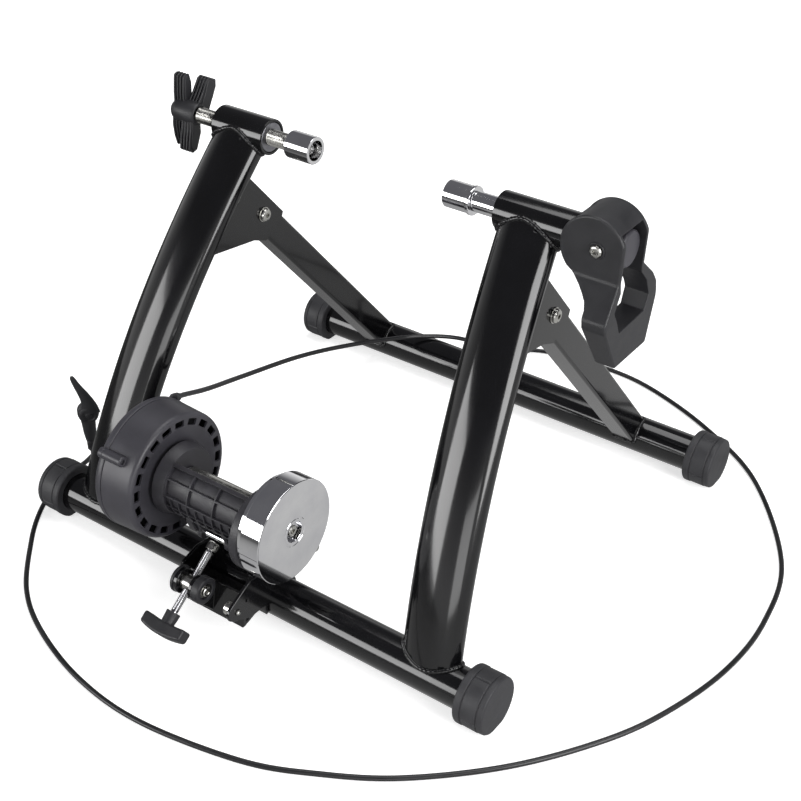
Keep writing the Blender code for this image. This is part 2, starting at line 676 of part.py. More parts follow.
def make_roller_bracket(tube_shape):
    """Folded steel bracket welded over the front tube: two cheeks, a front wall and two lugs."""
    saddle = arc(0, AXIS_HEIGHT, BASE_TUBE_R + GAP + SADDLE_PLATE, -20, 200, 18)
    low = LEFT_CHEEK[0]
    high = RIGHT_CHEEK[1]
    bracket = piece("roller_bracket", slab_x(saddle, low, high), "gloss_black")
    rear = arc(YOKE_PIVOT_Y, YOKE_PIVOT_Z, YOKE_EAR_R, -70, 100, 8) + [(10, 62)]
    left = [(12, 42), (24, 40), *rear, (-28.7, 68), (-49.7, 62), (-52, 56), (-52, 36), (-20, 33)]
    right = [(12, 42), (24, 40), *rear, (-39.5, 71), (-66, 57.5), (-71.5, 51.5), (-70.5, 44)]
    right += [(-67, 41), (-43.5, 29), (-20.5, 28)]
    front = [(-53.4, 23), (-50.4, 23), (-17, 33), (-17.8, 36.5), (-48.5, 27.5), (-44.5, 56.5), (-47.5, 57)]
    lug = arc(ADJUSTER_Y, ADJUSTER_Z, BOSS_R, 70, 235, 14) + [(-51.8, 24), (-48, 28.5), (-46, 56)]
    shapes = (
        ("left_cheek", left, LEFT_CHEEK),
        ("right_cheek", right, RIGHT_CHEEK),
        ("front_wall", front, (low + 1, high - 1)),
        ("left_lug", lug, LEFT_LUG),
        ("right_lug", lug, RIGHT_LUG),
    )
    for name, outline, ends in shapes:
        boolean(bracket, helper(f"bracket_{name}", slab_x(outline, *ends)), "UNION")
    boolean(bracket, tube_shape, "DIFFERENCE")
    drills = (
        ("pivot", YOKE_PIVOT_Y, YOKE_PIVOT_Z, YOKE_PIVOT_R, low - 20, high + 20),
        ("trunnion", ADJUSTER_Y, ADJUSTER_Z, TRUNNION_SCREW_R, -60, 20),
        ("ear", EAR_PIN_Y, EAR_PIN_Z, EAR_PIN_R, high - 20, high + 20),
    )
    for name, *numbers in drills:
        boolean(bracket, pin_drill(f"bracket_{name}_hole", *numbers), "DIFFERENCE")
    return bracket


def make_bracket_fittings():
    """Plastic bosses and screws of the adjuster's trunnion, the yoke's pin and the cheek's bolt."""
    at = (ADJUSTER_Y, ADJUSTER_Z)
    bore = TRUNNION_SCREW_R + GAP
    low, high = RIGHT_BOSS
    cup = [(low, bore), (low, BOSS_R), (high - 1.4, BOSS_R), (high, BOSS_R - 1.6)]
    cup += [(high, 7.6), (high - 3, 7.6), (high - 3, bore)]
    left = bored(LEFT_BOSS, BOSS_R, bore, chamfer=1.4)
    piece("left_trunnion_boss", along_x(left, *at, closed=True), "dark_plastic")
    piece("right_trunnion_boss", along_x(cup, *at, closed=True), "dark_plastic")
    head = LEFT_BOSS[0] - GAP
    seat = TRUNNION[0] + TRUNNION_SEAT
    screw = [(head - 3.5, 4.6), (head, 5.4), (head, TRUNNION_SCREW_R), (seat, TRUNNION_SCREW_R)]
    piece("left_trunnion_screw", along_x(screw, *at, count=16), "zinc")
    seat = high - 3 + GAP
    screw = [(TRUNNION[1] - TRUNNION_SEAT, TRUNNION_SCREW_R), (seat, TRUNNION_SCREW_R)]
    screw += [(seat, 6), (seat + 3, 6), (seat + 3.6, 5.2)]
    piece("right_trunnion_screw", along_x(screw, *at, count=16), "zinc")
    low = LEFT_CHEEK[0] - GAP
    high = RIGHT_CHEEK[1]
    pin = [(low - 4, 6), (low, 6.5), (low, YOKE_PIVOT_R)]
    pin += [(high + 3.4, YOKE_PIVOT_R), (high + 4, YOKE_PIVOT_R - 0.6)]
    piece("yoke_pivot_pin", along_x(pin, YOKE_PIVOT_Y, YOKE_PIVOT_Z, count=16), "zinc")
    inner = RIGHT_CHEEK[0] - GAP
    bolt = [(inner - 8, 6.6), (inner, 6.6), (inner, EAR_PIN_R)]
    bolt += [(high + 1, EAR_PIN_R), (high + 3, EAR_PIN_R - 0.6)]
    piece("cheek_bolt", along_x(bolt, EAR_PIN_Y, EAR_PIN_Z, count=16), "zinc")


def adjuster_way():
    """Direction of the adjuster's screw, up and back."""
    return (0, math.cos(ADJUSTER_ANGLE), math.sin(ADJUSTER_ANGLE))


def bar_place():
    """Axis (y, z) of the cross bar that the screw's tip bears on."""
    _, c, s = adjuster_way()
    return ADJUSTER_Y + c * ADJUSTER_REACH, ADJUSTER_Z + s * ADJUSTER_REACH


def make_yoke():
    """Plastic half cage that carries the roller: ribbed shell, flange, ring and two arms to the pin."""
    at = (UNIT_Y, UNIT_Z)
    inner = YOKE_R - YOKE_SHELL
    shell = arc(*at, inner, 262, 116, 20) + arc(*at, YOKE_R, 116, 262, 20)
    body = slab_x(shell, YOKE_FLANGE[1] - 2, YOKE_RING[0] + 2)
    yoke = piece("roller_yoke", body, "dark_plastic", (0, YOKE_PIVOT_Y, YOKE_PIVOT_Z))
    low, high = YOKE_RING
    rim = [(low, YOKE_RING_R - 1.5), (low + 1.5, YOKE_RING_R), (high - 1.5, YOKE_RING_R)]
    rim += [(high, YOKE_RING_R - 1.5)]
    ring = along_x(rim, UNIT_Y - YOKE_RING_DROP, UNIT_Z - YOKE_RING_DROP)
    boolean(yoke, helper("yoke_ring", ring), "UNION")
    low, high = YOKE_FLANGE
    boolean(yoke, helper("yoke_flange", along_x([(low, YOKE_R + 5), (high, YOKE_R + 3.4)], *at)), "UNION")
    for i, angle in enumerate((118, 144.6, 174.4)):
        rib = arc(*at, YOKE_R - 1, angle - 2, angle + 2, 1)
        rib += arc(*at, YOKE_R + YOKE_RIB, angle + 2, angle - 2, 1)
        bar = slab_x(rib, YOKE_FLANGE[1] - 2, YOKE_RING[0] + 2)
        boolean(yoke, helper(f"yoke_long_rib_{i}", bar), "UNION")
    for i, x in enumerate((-29, 1)):
        rib = arc(*at, YOKE_R - 1, 117, 175, 8) + arc(*at, YOKE_R + YOKE_RIB - 0.5, 175, 117, 8)
        boolean(yoke, helper(f"yoke_cross_rib_{i}", slab_x(rib, x - 1, x + 1)), "UNION")
    wall = YOKE_R - 1.5
    arm = [(UNIT_Y - 0.54 * wall, UNIT_Z - 0.84 * wall), (UNIT_Y - 20, UNIT_Z - 38), (UNIT_Y - 4, UNIT_Z - 45)]
    arm += arc(YOKE_PIVOT_Y, YOKE_PIVOT_Z, YOKE_EAR_R, 220, 420, 12)
    arm += [(UNIT_Y + 0.18 * wall, UNIT_Z - 0.98 * wall)]
    lug = arc(*bar_place(), 7.5, 150, 390, 12)
    lug += [(UNIT_Y + 0.04 * wall, UNIT_Z - wall), (UNIT_Y - 0.44 * wall, UNIT_Z - 0.9 * wall)]
    low, high = ADJUSTER_BAR
    shapes = (
        ("left_arm", arm, LEFT_ARM),
        ("right_arm", arm, RIGHT_ARM),
        ("left_lug", lug, (low - 1.5, low + 3.5)),
        ("right_lug", lug, (high - 3.5, high + 1.5)),
    )
    for name, outline, ends in shapes:
        boolean(yoke, helper(f"yoke_{name}", slab_x(outline, *ends)), "UNION")
    drills = (
        ("pivot", YOKE_PIVOT_Y, YOKE_PIVOT_Z, YOKE_PIVOT_R, -80, 60),
        ("bearing", *at, 13, -90, 90),
        ("bar", *bar_place(), ADJUSTER_BAR_R, low - GAP, high + GAP),
    )
    for name, *numbers in drills:
        boolean(yoke, pin_drill(f"yoke_{name}_hole", *numbers), "DIFFERENCE")
    bar = along_x(rod(ADJUSTER_BAR, ADJUSTER_BAR_R), *bar_place(), count=20)
    piece("adjuster_cross_bar", bar, "zinc", (0, *bar_place()))
    return yoke


def make_bearing(name, ends):
    """Ball bearing, drawn as one closed ring."""
    profile = bored(ends, 13, SHAFT_R + GAP)
    return piece(name, along_x(profile, UNIT_Y, UNIT_Z, closed=True, count=24), "steel")


def lug_places():
    """Axes (y, z) of the screw lugs on the housing's rim."""
    reach = HOUSING_R + 1.2
    turns = [math.radians(a) for a in LUG_ANGLES]
    return [(UNIT_Y + reach * math.cos(a), UNIT_Z + reach * math.sin(a)) for a in turns]


def make_housing_cover():
    """Vented plastic cover: a drum with a dished face and a ring of slots."""
    at = (UNIT_Y, UNIT_Z)
    seam = HOUSING_SEAM_X + GAP
    high = HOUSING[1]
    wall = HOUSING_WALL
    face_r = HOUSING_FACE_R
    profile = [
        (seam, HOUSING_R - 0.4),
        (high - 3.5, face_r),
        (high - 1, face_r - 1),
        (high, face_r - 3.5),
        (high, 45),
        (high - 5, 30),
        (high - 5, HUB_HOLE_R),
        (high - 5 - wall, HUB_HOLE_R),
        (high - 5 - wall, 30 + wall),
        (high - wall, 45 + wall),
        (high - wall, face_r - 5),
        (high - 5, face_r - wall),
        (seam, HOUSING_R - 0.4 - wall),
    ]
    cover = piece("housing_cover", along_x(profile, *at, closed=True, count=40), "grey_plastic")
    vents = bmesh.new()
    middle = (VENT_R[0] + VENT_R[1]) / 2
    depth = VENT_R[1] - VENT_R[0]
    place = Matrix.Translation(Vector((high, *at)) * MM)
    size = Matrix.Diagonal((20 * MM, depth * MM, VENT_WIDTH * MM, 1))
    for i in range(VENT_COUNT):
        turn = Matrix.Rotation(2 * math.pi * (i + 0.5) / VENT_COUNT, 4, "X")
        reach = Matrix.Translation((0, middle * MM, 0))
        bmesh.ops.create_cube(vents, size=1, matrix=place @ turn @ reach @ size)
    boolean(cover, helper("housing_vents", vents), "DIFFERENCE")
    for i, (y, z) in enumerate(lug_places()):
        lug = along_x([(seam, 5), (high - 14, 5)], y, z, count=14)
        boolean(cover, helper(f"housing_lug_{i}", lug), "UNION")
    return cover


def make_housing_cap():
    """Closed plastic cap on the housing's outer side, with the cable's socket."""
    at = (UNIT_Y, UNIT_Z)
    low = HOUSING[0]
    seam = HOUSING_SEAM_X - GAP
    wall = HOUSING_WALL
    r = HOUSING_R
    profile = [(low, r - 12), (low + 1.5, r - 5), (low + 4, r - 1), (seam, r)]
    cap = piece("housing_cap", along_x(profile, *at, count=44), "grey_plastic")
    for i, (y, z) in enumerate(lug_places()):
        lug = along_x([(low + 3, 5), (seam, 5)], y, z, count=14)
        boolean(cap, helper(f"cap_lug_{i}", lug), "UNION")
    socket = turned([(-13, 3.9), (-2.6, 3.9), (0, 3.2)], CABLE_WAY, CABLE_EXIT, count=14)
    boolean(cap, helper("cap_cable_socket", socket), "UNION")
    hollow = [(low + wall, r - 14), (low + wall + 2, r - 1 - wall - 2), (low + wall + 4, r - 1 - wall)]
    hollow.append((seam + 30, r - 1 - wall))
    boolean(cap, helper("cap_hollow", along_x(hollow, *at, count=44)), "DIFFERENCE")
    return cap


def make_rotor_pieces():
    """Everything that turns with the tyre."""
    at = (UNIT_Y, UNIT_Z)
    origin = (0, *at)
    bore = SHAFT_R + GAP
    shaft_end = FLYWHEEL[1] - 9
    shaft = rod((HOUSING[0] + 17, shaft_end), SHAFT_R)
    piece("roller_shaft", along_x(shaft, *at, count=20), "steel", origin)
    roller = bored(ROLLER, ROLLER_R, bore, 1.2)
    piece("roller", along_x(roller, *at, closed=True, count=32), "zinc", origin)
    disc = HOUSING[1] - 22
    rotor = bored((disc, disc + 4), ROTOR_R, bore, 0.5)
    piece("rotor_disc", along_x(rotor, *at, closed=True, count=36), "steel", origin)
    low, high = FLYWHEEL
    back = FLYWHEEL_BACK_X
    profile = [
        (back, bore),
        (back, FLYWHEEL_BACK_R - 0.8),
        (back + 0.8, FLYWHEEL_BACK_R),
        (low, FLYWHEEL_BACK_R),
        (low, FLYWHEEL_R - 1),
        (low + 1, FLYWHEEL_R),
        (high - 1.6, FLYWHEEL_R),
        (high - 0.5, FLYWHEEL_R - 0.5),
        (high, FLYWHEEL_R - 1.6),
        (high, 10),
        (high - 7, 10),
        (high - 7, bore),
    ]
    piece("flywheel", along_x(profile, *at, closed=True, count=40), "chrome", origin)
    screw = [(shaft_end + GAP, 5.5), (high - 2.4, 5.5), (high - 1.6, 4.6)]
    piece("flywheel_screw", along_x(screw, *at, count=16), "zinc", origin)


def make_magnet_carrier():
    """Plate that brings the magnets up to the rotor, and its magnets."""
    at = (UNIT_Y, UNIT_Z)
    low = HOUSING[0] + 4.2
    plate = bored((low, low + 2.4), 51, 20, 0.4)
    piece("magnet_carrier", along_x(plate, *at, closed=True, count=32), "dark_plastic", (low, *at))
    for i in range(MAGNET_COUNT):
        angle = 2 * math.pi * (i + 0.25) / MAGNET_COUNT
        y = UNIT_Y + MAGNET_RING_R * math.cos(angle)
        z = UNIT_Z + MAGNET_RING_R * math.sin(angle)
        magnet = rod((low + 2.4 + GAP, low + 6.4), MAGNET_R, 0.4)
        piece(f"magnet_{i + 1}", along_x(magnet, y, z, count=16), "steel", (low, *at))


def bar_matrix():
    """Axes at the adjuster: across along X, then square to the screw, then along it."""
    _, c, s = adjuster_way()
    turn = Matrix(((1, 0, 0), (0, -s, c), (0, c, s))).to_4x4()
    return Matrix.Translation((ADJUSTER_X, ADJUSTER_Y, ADJUSTER_Z)) @ turn


def t_bar_rings():
    """Cross sections of the T handle along the screw."""
    half = T_BAR_LENGTH / 2
    quarter = [(9, 7.8), (half - 1.5, 5.4), (half, 3)]
    outline = quarter + [(x, -y) for x, y in reversed(quarter)]
    outline += [(-x, -y) for x, y in quarter] + [(-x, y) for x, y in reversed(quarter)]
    matrix = bar_matrix()
    stations = ((-8.5, 0.86), (-6.5, 1.0), (3.3, 1.0), (5.3, 0.9))
    return [[matrix @ Vector((a * k, b * k, s - ADJUSTER_TAIL)) for a, b in outline] for s, k in stations]


def make_adjuster():
    """Trunnion, screw with a T handle, and the tip that swivels on the screw's end."""
    way = adjuster_way()
    origin = (ADJUSTER_X, ADJUSTER_Y, ADJUSTER_Z)
    at = origin[1:]
    bore = ADJUSTER_R + GAP
    trunnion = piece("adjuster_trunnion", along_x(rod(TRUNNION, TRUNNION_R), *at, count=24), "zinc", origin)
    hole = turned([(-30, bore), (30, bore)], way, origin, count=20)
    boolean(trunnion, helper("trunnion_screw_hole", hole), "DIFFERENCE")
    depth = TRUNNION_SEAT + GAP
    low, high = TRUNNION
    sockets = (("left", low - 9, low + depth), ("right", high - depth, high + 9))
    for name, low, high in sockets:
        drill = pin_drill(f"trunnion_{name}_socket", *at, TRUNNION_SCREW_R, low, high)
        boolean(trunnion, drill, "DIFFERENCE")
    tail = ADJUSTER_TAIL
    tip = ADJUSTER_REACH - ADJUSTER_BAR_R - TIP_GAP
    profile = [(-tail + 9, ADJUSTER_R), (tip - 4, ADJUSTER_R), (tip - 3.4, ADJUSTER_R - 0.6)]
    piece("adjuster_screw", turned(profile, way, origin, count=20), "zinc", origin)
    cap = [(tip, 4.0), (tip - 1, 5.3), (tip - 8, 5.3), (tip - 8, bore), (tip - 3.4 + GAP, bore)]
    piece("adjuster_tip", turned(cap, way, origin, count=20), "zinc", origin)
    knob = piece("adjuster_knob", skin(t_bar_rings()), "dark_plastic", origin)
    neck = turned([(-tail + 14.5, 7), (-tail - 2, 6.2)], way, origin, count=20)
    boolean(knob, helper("adjuster_knob_neck", neck), "UNION")
    hole = turned([(-tail + 9 - GAP, bore), (0, bore)], way, origin, count=20)
    boolean(knob, helper("adjuster_knob_bore", hole), "DIFFERENCE")


def make_remote():
    """Thumb shifter that stands behind the left front foot: body, lever, clamp and barrel."""
    view = Vector((0.776, -0.63, 0)).normalized()
    drum = Vector((REMOTE_X, REMOTE_Y, REMOTE_Z))
    shell = turned([(-7, DRUM_R - 1), (-6, DRUM_R), (2, DRUM_R)], view, drum, count=28)
    body = piece("remote_body", shell, "dark_plastic", drum)
    across = Vector((0, 0, 1)).cross(view)
    stem = []
    for z, half, depth in ((-6, 8, 5), (-26, 6.5, 5), (-36, 5, 4.5)):
        centre = drum + Vector((0, 0, z)) - view * 3 - across * 1
        stem.append([centre + across * a * half + view * b * depth for a, b in circle(1, 16)])
    boolean(body, helper("remote_stem", skin(stem)), "UNION")
    barrel_at = drum - view * 3 - across * 1 + Vector((0, 0, -36 - GAP))
    profile = [(0, 4), (1, 4.6), (BARREL_LENGTH - 1, 4.6), (BARREL_LENGTH, 3.4)]
    piece("remote_barrel", turned(profile, (0, 0, -1), barrel_at, count=16), "steel", barrel_at)
    hub = [(2 + GAP, DRUM_R - 1), (6, DRUM_R - 1), (7, DRUM_R - 3)]
    lever = piece("remote_lever", turned(hub, view, drum, count=28), "dark_plastic", drum)
    horn = []
    stations = ((4, 3, 9, 2.4), (18, 1, 6.5, 2.4), (34, -6, 4, 2.4), (48, -11, 2.6, 2.2))
    for rise, side_shift, half, depth in stations:
        centre = drum + Vector((0, 0, rise)) + across * side_shift + view * 4.8
        horn.append([centre + across * a * half + view * b * depth for a, b in circle(1, 12)])
    boolean(lever, helper("remote_horn", skin(horn)), "UNION")
    return barrel_at


def smooth_route(points, spacing):
    """Evenly spaced points on a curve through the route's own points."""
    pts = [Vector(p) for p in points]
    pts = [pts[0] * 2 - pts[1], *pts, pts[-1] * 2 - pts[-2]]
    fine = []
    for p0, p1, p2, p3 in zip(pts, pts[1:], pts[2:], pts[3:]):
        for i in range(24):
            t = i / 24
            fine.append(0.5 * (2 * p1 + (p2 - p0) * t + (2 * p0 - 5 * p1 + 4 * p2 - p3) * t * t
                               + (3 * p1 - p0 - 3 * p2 + p3) * t ** 3))
    fine.append(pts[-2])
    total = sum((b - a).length for a, b in zip(fine, fine[1:]))
    count = max(2, round(total / spacing))
    even = [fine[0]]
    step = total / count
    need = step
    for a, b in zip(fine, fine[1:]):
        length = (b - a).length
        while length >= need:
            a = a + (b - a) * (need / length)
            length = (b - a).length
            even.append(a)
            need = step
        need -= length
    if len(even) <= count:
        even.append(fine[-1])
    even[-1] = fine[-1]
    return even


def make_cable(end):
    """Bowden cable from the cap's socket, over the rear tube and round the base to the remote."""
    start = Vector(CABLE_EXIT)
    finish_at = end - Vector((0, 0, BARREL_LENGTH + GAP))
    middle = smooth_route([start + CABLE_WAY * 10, *CABLE_ROUTE, finish_at - Vector((0, 0, 7))], 36)
    points = [start + CABLE_WAY * GAP, *middle, finish_at]
    curve = bpy.data.curves.new("shift_cable", "CURVE")
    curve.dimensions = "3D"
    curve.bevel_depth = CABLE_R * MM
    curve.bevel_resolution = 2
    curve.use_fill_caps = True
    spline = curve.splines.new("POLY")
    spline.points.add(len(points) - 1)
    for target, point in zip(spline.points, points):
        target.co = (*(point * MM), 1)
    obj = bpy.data.objects.new("shift_cable", curve)
    bpy.context.scene.collection.objects.link(obj)
    finish(obj, "rubber")
    return obj


def build():
    """Make every piece and stand the trainer over the origin."""
    clear_scene()
    root = bpy.data.objects.new("trainer", None)
    bpy.context.scene.collection.objects.link(root)
    make_base_tubes()
    for end, y in (("front", 0), ("rear", REAR_TUBE_Y)):
        for side_name, side in (("left", -1), ("right", 1)):
            make_foot(f"{end}_{side_name}_foot", side, y)
    base_cutter = tube_cutter("front_saddle_cutter", 0, AXIS_HEIGHT, BASE_TUBE_R + GAP)
    rear_cutter = tube_cutter("rear_saddle_cutter", REAR_TUBE_Y, AXIS_HEIGHT, BASE_TUBE_R + GAP)
    top_cutter = tube_cutter("sleeve_saddle_cutter", AXLE_Y, AXLE_Z, SLEEVE_R + GAP)
    for side_name, side in (("left", -1), ("right", 1)):
        make_main_leg(f"{side_name}_main_leg", side, base_cutter, top_cutter)
        make_pivot_bracket(f"{side_name}_pivot_bracket", side)
        make_rear_leg(f"{side_name}_rear_leg", side, rear_cutter)
        make_pivot_bolt(side_name, side)
    make_sleeves()
    make_left_clamp()
    make_clamp_knob()
    make_right_clamp()
    make_pin_spring()
    make_cam_lever()
    make_lever_screw("lever_screw_front", -1)
    make_lever_screw("lever_screw_back", 1)
    make_roller_bracket(base_cutter)
    make_bracket_fittings()
    make_yoke()
    make_bearing("yoke_left_bearing", (YOKE_FLANGE[0] + 0.5, YOKE_FLANGE[1]))
    make_bearing("yoke_right_bearing", (YOKE_RING[0] + 0.5, YOKE_RING[1] - 0.5))
    make_housing_cover()
    make_housing_cap()
    make_rotor_pieces()
    make_magnet_carrier()
    make_adjuster()
    make_cable(make_remote())
    for obj in list(bpy.data.objects):
        if obj is not root:
            obj.parent = root
    front = min(point.y for ring in t_bar_rings() for point in ring)
    root.location = (0, -(REAR_TUBE_Y + FOOT_R + front) / 2 * MM, 0)


build()
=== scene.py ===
"""Looks of a folding bicycle trainer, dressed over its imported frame.

Pieces are drawn in millimetres with y = 0 on the front base tube's axis, z = 0 on the floor and
x = 0 in the middle of the wheel. spot() turns such a place into metres in the frame.
"""

import math

import bpy
from mathutils import Matrix, Vector


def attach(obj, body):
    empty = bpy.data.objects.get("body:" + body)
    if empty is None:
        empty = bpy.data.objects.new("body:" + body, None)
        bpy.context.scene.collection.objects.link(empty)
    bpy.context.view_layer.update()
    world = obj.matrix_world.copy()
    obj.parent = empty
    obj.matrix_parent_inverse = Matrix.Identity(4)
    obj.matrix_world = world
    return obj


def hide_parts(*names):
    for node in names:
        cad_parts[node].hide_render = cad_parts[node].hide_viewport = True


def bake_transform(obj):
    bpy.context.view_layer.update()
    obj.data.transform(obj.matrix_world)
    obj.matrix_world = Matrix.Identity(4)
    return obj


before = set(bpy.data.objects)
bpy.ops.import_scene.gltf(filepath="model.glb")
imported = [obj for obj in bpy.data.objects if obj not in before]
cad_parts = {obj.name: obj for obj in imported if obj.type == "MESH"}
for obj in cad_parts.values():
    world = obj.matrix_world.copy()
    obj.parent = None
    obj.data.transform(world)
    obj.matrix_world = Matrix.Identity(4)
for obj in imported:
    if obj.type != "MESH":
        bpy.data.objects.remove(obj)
bpy.ops.object.select_all(action="DESELECT")
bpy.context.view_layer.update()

MM = 0.001
ORIGIN_Y = 172.52
X_WAY = Vector((1, 0, 0))
Z_WAY = Vector((0, 0, 1))

# Main sizes and places. Two numbers are a (y, z) place in the side view, three an (x, y, z) place.
BASE_HALF = 272.5
TUBE_HALF = 269.2
TUBE_R = 19.3
TUBE_Z = 24.0
REAR_Y = 431.5
FOOT_R = 28.0
FOOT_LENGTH = 30.0
AXLE = (202.6, 373.1)
SLEEVE_R = 17.45
LEG_WIDE = 29.3
LEG_DEEP = 17.0
LEG_FOOT_X = 201.5
LEG_LEAN = 39.5
LEG_SPLAY = 7.2
LEG_BOW = 100.8
PIVOT = (209.0, 283.0)
REAR_LEG_X = 168.0
REAR_LEG_WIDE = 27.4
REAR_LEG_DEEP = 29.0
FOLD_HOLE_R = 4.3
KNOB_END = -252.0
LEVER_X = 236.0
LEVER_Z = 375.0
UNIT = (-20.7, 133.4)
YOKE_R = 29.0
YOKE_ENDS = (-58.2, 33.3)
YOKE_PIN = (50.0, 50.0)
ADJUSTER = (-17.3, -67.4, 62.4)
ADJUSTER_ANGLE = math.radians(35)
ADJUSTER_WAY = Vector((0, math.cos(ADJUSTER_ANGLE), math.sin(ADJUSTER_ANGLE)))
PUSH_BAR_OUT = 48.6
PUSH_BAR_R = 4
REMOTE = (-256.0, 40.0, 95.0)
REMOTE_VIEW = Vector((0.776, -0.63, 0)).normalized()
REMOTE_ACROSS = Z_WAY.cross(REMOTE_VIEW)
THROUGH = (-300, 300)


def spot(x, y, z):
    """A drawn place, in metres in the frame."""
    return Vector((x, y - ORIGIN_Y, z)) * MM


# Camera and cable

CAMERA = (0.7173, -0.92862, 0.9296)
CAMERA_DOWN = 0.5933
CAMERA_TURN = 0.6274
SENSOR = 36
FOCAL_PIXELS = 1436.6
PHOTO_PIXELS = 801


def set_camera():
    """Stand the camera at the photograph's angle."""
    bpy.ops.object.camera_add(location=CAMERA, rotation=(math.pi / 2 - CAMERA_DOWN, 0, CAMERA_TURN))
    camera = bpy.context.object
    camera.data.sensor_width = SENSOR
    camera.data.lens = SENSOR * FOCAL_PIXELS / PHOTO_PIXELS
    camera.data.clip_start = 0.05
    camera.data.clip_end = 30
    bpy.context.scene.camera = camera


CABLE_R = 2.5
CABLE_EXIT = (-111.0, 30.783, 176.905)
CABLE_WAY = Vector((-0.28, 0.87, -0.41)).normalized()
CABLE_ROUTE = [
    (-128.7, 87.8, 148.3), (-142.2, 153, 123.5), (-149, 250, 95), (-144, 330, 71), (-125, 402, 52),
    (-102, 434, 47), (-80, 462, 38), (-58, 497, 17), (-34, 530, 5), (0, 549, 2.6), (67, 556.5, 2.6),
    (131, 549, 2.6), (220, 513, 2.6), (305, 455, 2.6), (382, 349, 2.6), (405, 258, 2.6), (403, 173, 2.6),
    (380, 88, 2.6), (348, 25, 2.6), (301, -39, 2.6), (240, -97, 2.6), (183, -133, 2.6), (120, -161, 2.6),
    (21, -179, 2.6), (-59, -174, 2.6), (-135, -151, 2.6), (-191, -119, 2.6), (-242, -67, 2.6),
    (-269, -32, 2.6), (-286, 1, 3.0), (-288, 28, 8), (-277, 42, 20),
]


def smooth_route(points, per_span=16):
    """Points close together on a smooth curve through the given ones."""
    ends = [points[0] * 2 - points[1], *points, points[-1] * 2 - points[-2]]
    fine = []
    for before, first, last, after in zip(ends, ends[1:], ends[2:], ends[3:]):
        for i in range(per_span):
            t = i / per_span
            bend = 2 * before - 5 * first + 4 * last - after
            twist = 3 * first - before - 3 * last + after
            fine.append(0.5 * (2 * first + (last - before) * t + bend * t * t + twist * t ** 3))
    fine.append(ends[-2])
    return fine


def strand(name, points, radius, radii=None, closed=False, sides=3):
    """Round strand along a chain of points in metres, made a mesh."""
    bpy.ops.object.select_all(action="DESELECT")
    bpy.ops.curve.primitive_nurbs_path_add()
    obj = bpy.context.object
    obj.name = name
    curve = obj.data
    curve.splines.clear()
    spline = curve.splines.new("POLY")
    spline.points.add(len(points) - 1)
    for i, (target, point) in enumerate(zip(spline.points, points)):
        target.co = (*point, 1)
        target.radius = radii[i] if radii else 1
    spline.use_cyclic_u = closed
    spline.use_smooth = True
    curve.dimensions = "3D"
    curve.bevel_depth = radius * MM
    curve.bevel_resolution = sides
    curve.use_fill_caps = True
    bpy.ops.object.convert(target="MESH")
    bpy.ops.object.shade_smooth()
    return bpy.context.object


# Modelling steps


def draw(points):
    """Draw a chain of points in edit mode, each pulled out of the last."""
    bpy.ops.object.select_all(action="DESELECT")
    bpy.ops.mesh.primitive_plane_add(size=MM, enter_editmode=True)
    bpy.ops.mesh.merge(type="CENTER")
    bpy.ops.transform.translate(value=points[0])
    for last, point in zip(points, points[1:]):
        bpy.ops.mesh.extrude_vertices_move(TRANSFORM_OT_translate={"value": point - last})
    bpy.ops.mesh.select_all(action="SELECT")


def edit_all():
    """Enter edit mode with the whole mesh selected."""
    bpy.ops.object.mode_set(mode="EDIT")
    bpy.ops.mesh.select_all(action="SELECT")


def close_up(name):
    """Merge the doubles, turn the faces outwards and leave edit mode."""
    bpy.ops.mesh.select_all(action="SELECT")
    bpy.ops.mesh.remove_doubles(threshold=1e-6)
    bpy.ops.mesh.normals_make_consistent(inside=False)
    bpy.ops.object.mode_set(mode="OBJECT")
    bpy.context.object.name = name
    return bpy.context.object


def only(obj):
    """Make one object the selected and active one."""
    bpy.ops.object.select_all(action="DESELECT")
    obj.select_set(True)
    bpy.context.view_layer.objects.active = obj


def stand(obj, place, way):
    """Turn a piece that was drawn along x another way and move it to its place, in its mesh."""
    only(obj)
    turn = X_WAY.rotation_difference(Vector(way)).to_matrix().to_4x4()
    obj.matrix_world = Matrix.Translation(place) @ turn
    bpy.ops.object.transform_apply()


def applied(obj, kind, **settings):
    """Add one modifier and apply it."""
    only(obj)
    modifier = obj.modifiers.new(kind.lower(), kind)
    for name, value in settings.items():
        setattr(modifier, name, value)
    bpy.ops.object.modifier_apply(modifier=modifier.name)


def soften(obj, width, segments=2, angle=32):
    """Round the edges and shade the faces smooth between them."""
    limit = math.radians(angle)
    only(obj)
    if width:
        edit_all()
        bpy.ops.mesh.remove_doubles(threshold=0.00004)
        bpy.ops.object.mode_set(mode="OBJECT")
        applied(obj, "BEVEL", width=width * MM, segments=segments, limit_method="ANGLE", angle_limit=limit,
                use_clamp_overlap=False)
    bpy.ops.object.shade_smooth_by_angle(angle=limit)
    applied(obj, "WEIGHTED_NORMAL", keep_sharp=True)
    return obj


def shaped(obj, tool, operation="DIFFERENCE"):
    """Cut a piece by a tool, unite them or keep what they share. The tool is used up."""
    applied(obj, "BOOLEAN", operation=operation, object=tool, solver="EXACT")
    bpy.data.objects.remove(tool)
    return obj


def joined(obj, *others):
    """Make several shapes one object."""
    only(obj)
    for other in others:
        other.select_set(True)
    bpy.ops.object.join()
    return obj


def turned(name, profile, place, way=X_WAY, steps=96, soft=0.4, segments=2):
    """Turned solid: a half section of (distance, radius) pairs, spun about its axis."""
    draw([Vector((s, 0, r)) * MM for s, r in profile])
    bpy.ops.mesh.spin(steps=steps, angle=math.tau, center=(0, 0, 0), axis=(1, 0, 0))
    obj = close_up(name)
    stand(obj, place, way)
    return soften(obj, soft, segments)


